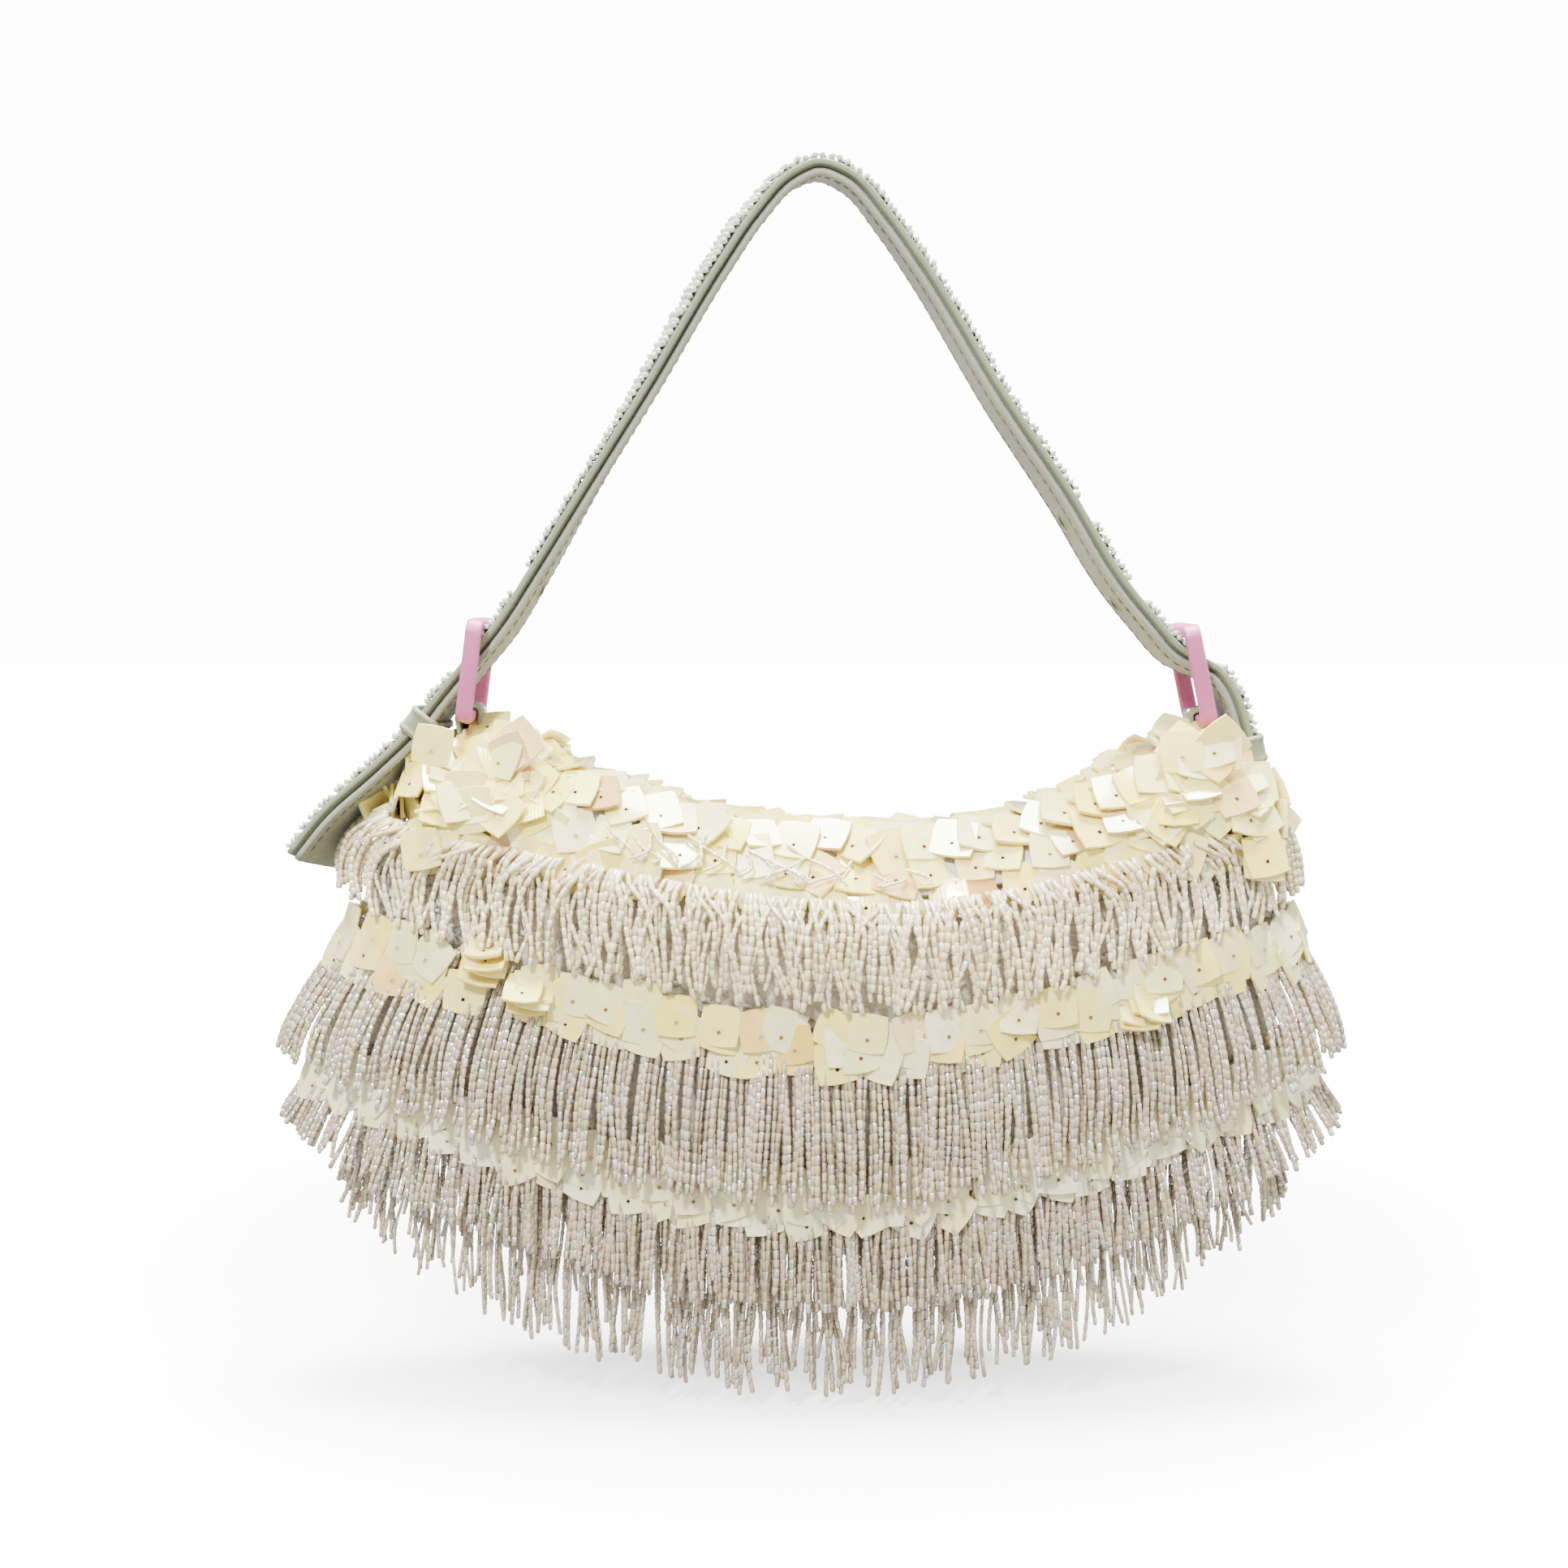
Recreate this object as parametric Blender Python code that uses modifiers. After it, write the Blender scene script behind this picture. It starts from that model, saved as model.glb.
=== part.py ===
"""A crescent shoulder bag in satin, covered with rows of beaded fringe and square shell plates.

The bag hangs from its strap. The origin is the underside of the strap at its top, +Z is up, +X is to
the right as the flap side is seen, and the flap side faces -Y. Every ring of the body, every row of
fringe and every band of plates follows one function, ring, which is a rounded oval in plan whose
height rises towards both ends like a smile.
"""

import math

import bmesh
import bpy
import numpy as np
from mathutils import Matrix, Vector

# Clearance between hard pieces that touch, and between layers on curved cloth
GAP = 0.0003
SOFT_GAP = 0.0005

# Body
BODY_HALF_WIDTH = 0.139
BODY_HALF_DEPTH = 0.031
BODY_HEIGHT = 0.121
POUCH_WALL = 0.0022
RING_POINTS = 34
RIM_DROP = 0.1945  # from the underside of the strap's top to the lowest point of the rim

# Flap
FLAP_THICKNESS = 0.0018
FLAP_LIFT = 0.0013  # air between the pouch and the flap
FLAP_CROWN = 0.0022
FLAP_EDGE_LEVEL = 0.100
FLAP_BACK_LEVEL = 0.025
BUNCHING = 1.15
CORNER_ROOM = 0.0012  # the flap stands off this much more at the shoulders
MOUTH_REACH = 0.88  # how far the flap runs to the ends over the mouth, between the tabs
FRONT_REACH = 0.98  # and down the front
REACH_START = 0.74  # where on its way it starts to widen
REACH_STRIDE = 0.16  # and how far that takes

# Shell plates
PLATE_PITCH = 0.0098
FIELD_PITCH = 0.0104
PLATE_SHARE = 0.94  # share of the pitch that a plate covers
PLATE_OVERLAP = 0.28  # share of a row that a plate runs on over the next row
PLATE_TURN = 0.16  # most that a plate's edge is turned, as a share of a row
PLATE_THICKNESS = 0.0012
PLATE_TILT = 0.0013
FIELD_ROOM = 0.0017  # air between the flap's curve and the backing of the top field
BAND_PITCH = 0.0155
BAND_STEP = 0.62  # from one row of a band to the next, in plate pitches
BAND_PLATE = 1.1  # length of a band's plate, in plate pitches
BAND_TURN = 0.10
BAND_REST = 0.55  # share of a lock's ridge that lies under a band
BEND_ROOM = 0.0018  # flat plates stand this much further out round the body's ends

# Fringe
FRINGE_LENGTH = 0.047
FRINGE_THICKNESS = 0.0030
FRINGE_TIP = 0.0012
LOCK_PITCH = 0.0208
LOCK_DEPTH = 0.0014
CREST_REACH = (0.93, 1.0)  # shares of the row's length that the locks and the hollows hang to
HOLLOW_REACH = (0.74, 0.82)
OVER_FLAP = FLAP_LIFT + 1.6 * FLAP_THICKNESS  # extra room for a row that is sewn on the flap

# Strap
STRAP_WIDTH = 0.025
STRAP_LAYER = 0.0023
STRAP_EDGE = 0.0008
STRAP_GROOVE = 0.0008
STRAP_STRIDE = 0.0135
TAIL_LENGTH = 0.076
STUB_LENGTH = 0.030
HOLE_PITCH = 0.0285
HOLE_WIDTH = 0.0026
HOLE_LENGTH = 0.0048

# Buckles
BUCKLE_SPAN = 0.2104
BUCKLE_MIDDLE_X = 0.0048
BUCKLE_WIDTH = 0.036
BUCKLE_HEIGHT = 0.030
BUCKLE_DEPTH = 0.0047
BUCKLE_BAR = 0.0035
BUCKLE_EDGE = 0.0005
CROSSING_DROP = 0.1402  # from the underside of the strap's top to where the strap crosses the frames
PRONG_RADIUS = 0.0009
PRONG_CLEARANCE = 0.0005
PRONG_CURL = 285  # degrees round the lower bar
BAR_ROUNDING = 0.45  # power of the rounded rectangle that cloth and pin follow round the bar

# Keepers and tabs
KEEPER_LENGTH = 0.0080
KEEPER_WALL = 0.0010
KEEPER_BEAD_ROOM = 0.0018
KEEPER_RIB = 0.0005
KEEPER_CORNER = 0.0012
KEEPER_DISTANCE = 0.0230  # from the left crossing to the middle of its keeper
KEEPER_END = 0.0050  # from the middle of the right keeper to the end of the strap
TAB_WIDTH = 0.0130
TAB_THICKNESS = 0.0014
TAB_REACH = 0.0070
TAB_ROOM = 0.0018

# The flap's line from its back edge over the mouth to its front edge: way is the share of the line, level
# the body level, side +1 at the back and -1 at the front, crown a share of FLAP_CROWN.
FLAP_LINE = [
    dict(way=0.00, level=FLAP_BACK_LEVEL, side=1.0, crown=0.0),
    dict(way=0.14, level=0.0, side=1.0, crown=0.0),
    dict(way=0.30, level=0.0, side=0.5, crown=0.7),
    dict(way=0.43, level=0.0, side=0.0, crown=1.0),
    dict(way=0.56, level=0.0, side=-0.5, crown=0.7),
    dict(way=0.72, level=0.0, side=-1.0, crown=0.0),
    dict(way=0.86, level=FLAP_EDGE_LEVEL / 2, side=-1.0, crown=0.0),
    dict(way=1.00, level=FLAP_EDGE_LEVEL, side=-1.0, crown=0.0),
]
FLAP_STATIONS = 17
# Where the flap's own faces bend on that way, and the last place before its front edge
FLAP_FOLDS = (0.14, 0.27, 0.43, 0.59, 0.72, 0.81)
FLAP_LAST_FOLD = 0.90

# Body rings: level is the drop as a share of BODY_HEIGHT, reach is a share of BODY_HALF_WIDTH, depth of
# BODY_HALF_DEPTH, lift and low are shares of BODY_HEIGHT and BODY_HALF_WIDTH, square is the oval's power.
BODY_RINGS = [
    dict(level=0.00, left=None, right=None, depth=0.56, lift=0.262, low=0.16, ease=0.0, square=5.0),
    dict(level=0.09, left=0.875, right=0.900, depth=0.85, lift=0.155, low=0.13, ease=0.9, square=2.9),
    dict(level=0.36, left=0.945, right=0.965, depth=1.00, lift=0.215, low=0.08, ease=0.6, square=2.4),
    dict(level=0.73, left=1.000, right=0.978, depth=0.97, lift=0.290, low=0.04, ease=0.3, square=2.3),
    dict(level=0.90, left=0.940, right=0.925, depth=0.76, lift=0.270, low=0.00, ease=0.2, square=2.3),
    dict(level=1.00, left=0.640, right=0.630, depth=0.26, lift=0.130, low=0.00, ease=0.1, square=2.3),
]
POUCH_LEVELS = (0.0, 0.04, 0.10, 0.22, 0.40, 0.58, 0.75, 0.89, 1.0)
WIDEST_LEVEL = 0.73

# Strap legs: reach is a share of the way from the strap's top to the buckle, drop of CROSSING_DROP,
# roll turns the lining towards the front, in degrees.
LEFT_LEG = [
    dict(reach=0.076, drop=0.019, roll=-7),
    dict(reach=0.187, drop=0.094, roll=-10),
    dict(reach=0.287, drop=0.196, roll=-10),
    dict(reach=0.485, drop=0.430, roll=-8),
    dict(reach=0.671, drop=0.646, roll=-4),
    dict(reach=0.816, drop=0.818, roll=0),
    dict(reach=0.914, drop=0.927, roll=2),
]
RIGHT_LEG = [
    dict(reach=0.071, drop=0.020, roll=-3),
    dict(reach=0.176, drop=0.108, roll=-1),
    dict(reach=0.254, drop=0.192, roll=0),
    dict(reach=0.483, drop=0.477, roll=2),
    dict(reach=0.646, drop=0.662, roll=3),
    dict(reach=0.791, drop=0.840, roll=3),
    dict(reach=0.871, drop=0.915, roll=3),
    dict(reach=0.955, drop=0.983, roll=3),
]
# Free ends past the buckles, as shares of their own lengths.
LEFT_TAIL = [
    dict(out=0.122, drop=0.150, roll=3),
    dict(out=0.189, drop=0.240, roll=4),
    dict(out=0.357, drop=0.425, roll=10),
    dict(out=0.539, drop=0.607, roll=16),
    dict(out=0.650, drop=0.760, roll=20),
]
RIGHT_STUB = [
    dict(out=0.170, drop=0.085, roll=2),
    dict(out=0.310, drop=0.270, roll=1),
    dict(out=0.410, drop=0.490, roll=0),
    dict(out=0.470, drop=0.720, roll=0),
    dict(out=0.530, drop=0.980, roll=0),
]

# Frames: side is -1 left and 1 right, below_crossing is how far the frame's middle lies below the place
# where the strap crosses it, as a share of BUCKLE_HEIGHT, lean is in degrees, holes counts the strap's spare
# holes from that place on.
BUCKLES = [
    dict(name="left", side=-1, below_crossing=0.04, lean=7.5, holes=(1,)),
    dict(name="right", side=1, below_crossing=0.09, lean=12.0, holes=(1, 2)),
]

# Fringe rows: front and back are body levels, length and end are shares of FRINGE_LENGTH at the front
# and at the ends, splay is in degrees, over says whether the row is sewn on the flap.
FRINGES = [
    dict(name="fringe_flap", front=0.095, back=0.035, length=0.62, end=0.46, splay=4, end_splay=4, over=True),
    dict(name="fringe_middle", front=0.385, back=0.385, length=1.0, end=0.80, splay=9, end_splay=23, over=False),
    dict(name="fringe_lower", front=0.727, back=0.727, length=0.80, end=0.60, splay=4, end_splay=32, over=False),
    dict(name="fringe_hem", front=0.890, back=0.890, length=1.03, end=0.66, splay=1, end_splay=9, over=False),
]
# Bands of plates lie on a fringe row: rise is how far they start above its head, as a share of PLATE_PITCH.
BANDS = [
    dict(name="shell_plates_middle", row="fringe_middle", rise=0.30, rows=2, seed=5),
    dict(name="shell_plates_low", row="fringe_lower", rise=0.30, rows=2, seed=9),
]
FIELD_ROWS = 4
FIELD_START = 0.04
FIELD_END = 0.90

COLOURS = {
    "satin": ((0.46, 0.49, 0.39), 0.45, 0.0),
    "enamel": ((0.74, 0.38, 0.54), 0.35, 0.0),
    "silver": ((0.80, 0.80, 0.80), 0.22, 1.0),
    "shell": ((0.90, 0.82, 0.58), 0.28, 0.0),
    "glass_beads": ((0.66, 0.62, 0.55), 0.20, 0.0),
    "beaded_cloth": ((0.56, 0.54, 0.49), 0.55, 0.0),
}


def buckle_bar(row):
    """Centre of a frame and of its lower bar, with the frame's up and outward directions, in the XZ plane."""
    x = BUCKLE_MIDDLE_X + row["side"] * BUCKLE_SPAN / 2
    centre = Vector((x, 0, -CROSSING_DROP - row["below_crossing"] * BUCKLE_HEIGHT))
    lean = math.radians(row["lean"])
    up = Vector((-row["side"] * math.sin(lean), 0, math.cos(lean)))
    out = Vector((row["side"] * math.cos(lean), 0, math.sin(lean)))
    bar = centre - up * (BUCKLE_HEIGHT - BUCKLE_BAR) / 2
    return centre, bar, up, out


def smooth(at, knots, values):
    """Cubic curve through a table's values, with each knot's slope taken from its neighbours."""
    at, knots, values = (np.asarray(a, dtype=float) for a in (at, knots, values))
    slopes = np.gradient(values, knots)
    i = np.clip(np.searchsorted(knots, at, side="right") - 1, 0, len(knots) - 2)
    step = knots[i + 1] - knots[i]
    t = (at - knots[i]) / step
    a = (1 + 2 * t) * (1 - t) ** 2 * values[i] + t * (1 - t) ** 2 * step * slopes[i]
    b = t * t * (3 - 2 * t) * values[i + 1] + t * t * (t - 1) * step * slopes[i + 1]
    return a + b


def rim_reach(side):
    """The rim ends under the lower bar of its buckle, so that the tab can straddle the wall."""
    row = BUCKLES[0] if side < 0 else BUCKLES[1]
    return abs(buckle_bar(row)[1].x) + POUCH_WALL / 2


def ring_column(name):
    """One column of the body's table, with the rim's reach taken from the buckles."""
    if name in ("left", "right"):
        rim = rim_reach(-1 if name == "left" else 1)
        return [rim] + [row[name] * BODY_HALF_WIDTH for row in BODY_RINGS[1:]]
    return [row[name] for row in BODY_RINGS]


def ring_value(name, level):
    return smooth(level, [row["level"] for row in BODY_RINGS], ring_column(name))


def plan(angle, square):
    """A point of the unit oval |x|^n + |y|^n = 1 at an angle, +X first and +Y (the back) next."""
    c, s = np.cos(angle), np.sin(angle)
    return np.sign(c) * np.abs(c) ** (2 / square), np.sign(s) * np.abs(s) ** (2 / square)


def body_point(across, deep, level, out=0.0):
    """Place on the body from unit plan coordinates and a level, moved outwards in plan by out."""
    reach = np.where(across < 0, ring_value("left", level), ring_value("right", level))
    depth = ring_value("depth", level) * BODY_HALF_DEPTH
    x = across * reach
    low = ring_value("low", level) * BODY_HALF_WIDTH
    share = np.clip(np.abs(x - low) / (reach + np.where(across < 0, low, -low)), 0, 1)
    ease = ring_value("ease", level)
    rise = (1 - ease) * share**2 + ease * (1 - np.cos(math.pi * share)) / 2
    z = -RIM_DROP - level * BODY_HEIGHT + rise * ring_value("lift", level) * BODY_HEIGHT
    return np.stack([x + across * out, deep * (depth + out), z], axis=-1)


def ring(angle, level, out=0.0):
    angle, level = np.broadcast_arrays(angle, level)
    across, deep = plan(angle, ring_value("square", level))
    return body_point(across, deep, level, out)


def even_angles(level, out, count=None, pitch=None, start=0.0):
    """Angles that step evenly along a ring, from the right end on, by their number or their pitch."""
    fine = np.linspace(0, 2 * math.pi, 1441)
    steps = np.linalg.norm(np.diff(ring(fine, level, out), axis=0), axis=1)
    along = np.concatenate([[0], np.cumsum(steps)])
    if count is None:
        count = 2 * round(along[-1] / pitch / 2)
    return np.interp((np.arange(count) + start) / count * along[-1], along, fine)


def wrap(angle):
    """How far a place is round to the ends, 0 at the front and back and 1 at the ends."""
    return np.abs(np.cos(angle)) ** 4


def make_material(name):
    colour, roughness, metallic = COLOURS[name]
    material = bpy.data.materials.new(name)
    material.use_nodes = True
    shader = material.node_tree.nodes["Principled BSDF"]
    shader.inputs["Base Color"].default_value = (*colour, 1)
    shader.inputs["Roughness"].default_value = roughness
    shader.inputs["Metallic"].default_value = metallic
    return material


class Bag:
    """The two collections, the materials and the objects made so far."""

    def __init__(self):
        self.parts = bpy.data.collections.new("baguette_bag")
        self.cutters = bpy.data.collections.new("cutters")
        for group in (self.parts, self.cutters):
            bpy.context.scene.collection.children.link(group)
        self.materials = {name: make_material(name) for name in COLOURS}

    def add(self, name, mesh, material):
        thing = bpy.data.objects.new(name, mesh)
        thing.data.materials.clear()
        thing.data.materials.append(self.materials[material])
        self.parts.objects.link(thing)
        return thing

    def cut(self, thing, cutter, name):
        """Subtracts a cutter object, which goes out of sight."""
        if cutter.name not in self.cutters.objects:
            self.cutters.objects.link(cutter)
            cutter.hide_render = True
            cutter.display_type = "WIRE"
        modifier = thing.modifiers.new(name, "BOOLEAN")
        modifier.operation = "DIFFERENCE"
        modifier.solver = "EXACT"
        modifier.object = cutter


def loft(name, sections, closed):
    """Joins sections of equal, even point count into one skin. An open one has its two ends capped, by quads
    that run from the section's first and last points inwards."""
    count, points = sections.shape[:2]
    index = np.arange(count * points).reshape(count, points)
    after = np.roll(index, -1, axis=0) if closed else index[1:]
    here = index if closed else index[:-1]
    quads = np.stack([here, np.roll(here, -1, 1), np.roll(after, -1, 1), after], axis=-1)
    faces = [tuple(q) for q in quads.reshape(-1, 4).tolist()]
    if not closed:
        for end in (index[0].tolist(), index[-1].tolist()):
            for i in range(points // 2 - 1):
                faces.append((end[i], end[i + 1], end[-2 - i], end[-1 - i]))
    mesh = bpy.data.meshes.new(name)
    mesh.from_pydata(sections.reshape(-1, 3).tolist(), [], faces)
    work = bmesh.new()
    work.from_mesh(mesh)
    bmesh.ops.recalc_face_normals(work, faces=work.faces)
    work.to_mesh(mesh)
    work.free()
    return mesh


def round_shading(mesh, degrees=40):
    mesh.shade_smooth()
    mesh.set_sharp_from_angle(angle=math.radians(degrees))


def add_solidify(thing, thickness, offset):
    wall = thing.modifiers.new("wall", "SOLIDIFY")
    wall.thickness = thickness
    wall.offset = offset
    wall.use_even_offset = True


def make_pouch(bag):
    """The outer skin in rings, closed along its foot, with its wall turned inwards."""
    rings = np.stack(
        [ring(even_angles(level, 0, RING_POINTS, start=0.5), level) for level in POUCH_LEVELS]
    )
    levels = len(POUCH_LEVELS)
    index = np.arange(levels * RING_POINTS).reshape(levels, RING_POINTS)
    side = np.roll(index, -1, axis=1)
    faces = np.stack([index[:-1], index[1:], side[1:], side[:-1]], axis=-1).reshape(-1, 4).tolist()
    foot = index[-1].tolist()
    half = RING_POINTS // 2
    for i in range(half - 1):
        faces.append([foot[i], foot[RING_POINTS - 1 - i], foot[RING_POINTS - 2 - i], foot[i + 1]])
    mesh = bpy.data.meshes.new("pouch")
    mesh.from_pydata(rings.reshape(-1, 3).tolist(), [], faces)
    round_shading(mesh)
    pouch = bag.add("pouch", mesh, "beaded_cloth")
    add_solidify(pouch, POUCH_WALL, -1)


def flap_reach(share, way):
    """The flap stops short of the tabs over the mouth and runs further round the ends at the front."""
    ease = np.clip((way - REACH_START) / REACH_STRIDE, 0, 1)
    return share * (MOUTH_REACH + (FRONT_REACH - MOUTH_REACH) * ease * ease * (3 - 2 * ease))


def flap_curve(share, way):
    """A line over the mouth: up the back to the rim, over a low crown and down the front to the edge."""
    at = [row["way"] for row in FLAP_LINE]
    across = flap_reach(share, way)
    knots = []
    for row in FLAP_LINE:
        square = ring_value("square", row["level"])
        deep = row["side"] * (1 - np.abs(across) ** square) ** (1 / square)
        knot = body_point(across, deep, np.full(across.shape, row["level"]))
        knot[..., 2] += row["crown"] * FLAP_CROWN
        knots.append(knot)
    place = np.empty(across.shape + (3,))
    for spot in np.ndindex(across.shape):
        for axis in range(3):
            place[spot][axis] = smooth(way[spot], at, [knot[spot][axis] for knot in knots])
    return place


def flap_point(share, way, out):
    """Place over the flap, moved off its line by out: share runs left to right, way from back to front."""
    share, way = np.broadcast_arrays(np.asarray(share, float), np.asarray(way, float))
    small = 0.01
    ahead = flap_curve(share, np.minimum(way + small, 1))
    behind = flap_curve(share, np.maximum(way - small, 0))
    slope = (ahead - behind)[..., 1:]
    slope /= np.linalg.norm(slope, axis=-1, keepdims=True)
    place = flap_curve(share, way)
    out = out + CORNER_ROOM * np.abs(share) ** 6
    place[..., 1] += slope[..., 1] * out
    place[..., 2] -= slope[..., 0] * out
    return place


def bunch(share):
    """Moves even shares from end to end closer together near the ends, where the body turns away."""
    return np.sin(BUNCHING * np.asarray(share)) / math.sin(BUNCHING)


def make_flap(bag):
    stations = bunch(np.linspace(-1, 1, FLAP_STATIONS))
    ways = np.array([0, *FLAP_FOLDS, FLAP_LAST_FOLD, 1.0])
    outer = flap_point(stations[:, None], ways[None, :], FLAP_LIFT + FLAP_THICKNESS)
    inner = flap_point(stations[:, None], ways[None, ::-1], FLAP_LIFT)
    mesh = loft("flap", np.concatenate([outer, inner], axis=1), closed=False)
    round_shading(mesh)
    bag.add("flap", mesh, "beaded_cloth")


def make_field(bag):
    """The top field of plates: each 2 x 3 block of grid points is one plate, bent over the flap, and the cells
    between are steps."""
    rng = np.random.default_rng(3)
    base = FLAP_LIFT + FLAP_THICKNESS + FIELD_ROOM
    plates = round(2 * BODY_HALF_WIDTH / FIELD_PITCH)
    cells = (np.arange(plates) + 0.5) / plates * 2 - 1
    half = PLATE_SHARE / plates
    shares = bunch(np.stack([cells - half, cells + half], axis=-1))
    starts = np.linspace(FIELD_START, FIELD_END, FIELD_ROWS + 1)
    step = starts[1] - starts[0]
    columns = []
    for plate in range(plates):
        turns = rng.uniform(-PLATE_TURN, PLATE_TURN, FIELD_ROWS)
        lifts = rng.uniform(0.6, 1.0, FIELD_ROWS)
        for edge in (0, 1):
            outer = []
            share = shares[plate, edge]
            for row in range(FIELD_ROWS):
                turn = turns[row] * (edge - 0.5)
                overlap = PLATE_OVERLAP if row < FIELD_ROWS - 1 else -PLATE_TURN / 2
                way_top = starts[row] + turn * step
                way_foot = starts[row + 1] + (overlap + turn) * step
                raised = PLATE_TILT * lifts[row]
                low, high = raised * edge / 2, raised * (1 + edge)
                for way, lift in ((way_top, low), ((way_top + way_foot) / 2, (low + high) / 2), (way_foot, high)):
                    outer.append(flap_point(share, way, base + PLATE_THICKNESS + lift))
            inner = flap_point(share, np.linspace(FIELD_END, FIELD_START, len(outer)), base)
            columns.append(np.concatenate([np.array(outer), inner]))
    mesh = loft("shell_plates_top", np.array(columns), closed=False)
    bag.add("shell_plates_top", mesh, "shell")


def fringe_level(row, angle):
    """The row's body level, which may differ at the front and at the back."""
    back = (1 + np.sin(angle)) / 2
    back = back * back * (3 - 2 * back)
    return row["front"] + (row["back"] - row["front"]) * back


def fringe_point(row, angle, way, out, reach=1.0):
    """Place down a fringe: way is 0 at its head and 1 at its tips, out is the distance from its inner face.
    It keeps outside the body as far down as the body grows, and hangs free below that."""
    angle = np.asarray(angle, float)
    head = SOFT_GAP
    if row["over"]:
        head += OVER_FLAP
    at_end = wrap(angle)
    length = FRINGE_LENGTH * (row["length"] + (row["end"] - row["length"]) * at_end) * reach
    splay = np.radians(row["splay"] + (row["end_splay"] - row["splay"]) * at_end)
    level = fringe_level(row, angle)
    beside = level + length * way / BODY_HEIGHT
    beside = np.clip(beside, level, np.maximum(level, WIDEST_LEVEL))
    place = ring(angle, beside, head + out + length * way * np.sin(splay))
    place[..., 2] = ring(angle, level)[..., 2] - length * way * np.cos(splay)
    return place


def make_fringe(bag, row, seed):
    """A skirt of locks: crests and hollows take turns, and each lock ends in its own tip."""
    rng = np.random.default_rng(seed)
    angles = even_angles(row["front"], FRINGE_THICKNESS, pitch=LOCK_PITCH / 2)
    crest = np.arange(len(angles)) % 2 == 0
    long, short = rng.uniform(*CREST_REACH, len(angles)), rng.uniform(*HOLLOW_REACH, len(angles))
    reach = np.where(crest, long, short)
    ridge = np.where(crest, LOCK_DEPTH, 0.0)
    middle = 0.5
    points = [
        fringe_point(row, angles, 0.0, FRINGE_THICKNESS),
        fringe_point(row, angles, middle, FRINGE_THICKNESS + ridge, reach),
        fringe_point(row, angles, 1.0, FRINGE_TIP + ridge, reach),
        fringe_point(row, angles, 1.0, 0.0 + ridge * 0.5, reach),
        fringe_point(row, angles, middle, 0.0, reach),
        fringe_point(row, angles, 0.0, 0.0),
    ]
    mesh = loft(row["name"], np.stack(points, axis=1), closed=True)
    bag.add(row["name"], mesh, "glass_beads")


def make_band(bag, band, fringe):
    """A band of overlapping plates that lies on the head of a fringe row."""
    rng = np.random.default_rng(band["seed"])
    base = FRINGE_THICKNESS + BAND_REST * LOCK_DEPTH + SOFT_GAP
    angles = even_angles(fringe["front"], base, pitch=BAND_PITCH)
    plates = len(angles)
    pitch = np.diff(np.append(angles, angles[0] + 2 * math.pi))
    left = angles + (1 - PLATE_SHARE) / 2 * pitch
    right = angles + (1 + PLATE_SHARE) / 2 * pitch
    row_length = FRINGE_LENGTH * (fringe["length"] + (fringe["end"] - fringe["length"]) * wrap(angles))
    unit = PLATE_PITCH / row_length
    top = -band["rise"] * unit
    sections = np.empty((2 * plates, 2 * band["rows"] + 2, 3))
    for edge, at in ((0, left), (1, right)):
        points = []
        lie = base + BEND_ROOM * wrap(at)
        for row in range(band["rows"]):
            turn = rng.uniform(-BAND_TURN, BAND_TURN, plates) * unit * (edge - 0.5)
            start = top + row * BAND_STEP * unit
            end = start + BAND_PLATE * unit
            raised = PLATE_TILT * (0.4 + 0.6 * edge)
            points.append(fringe_point(fringe, at, start + turn, lie + PLATE_THICKNESS))
            points.append(fringe_point(fringe, at, end + turn, lie + PLATE_THICKNESS + raised))
        points.append(fringe_point(fringe, at, end, lie))
        points.append(fringe_point(fringe, at, top, lie))
        sections[edge::2] = np.stack(points, axis=1)
    bag.add(band["name"], loft(band["name"], sections, closed=True), "shell")


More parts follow.
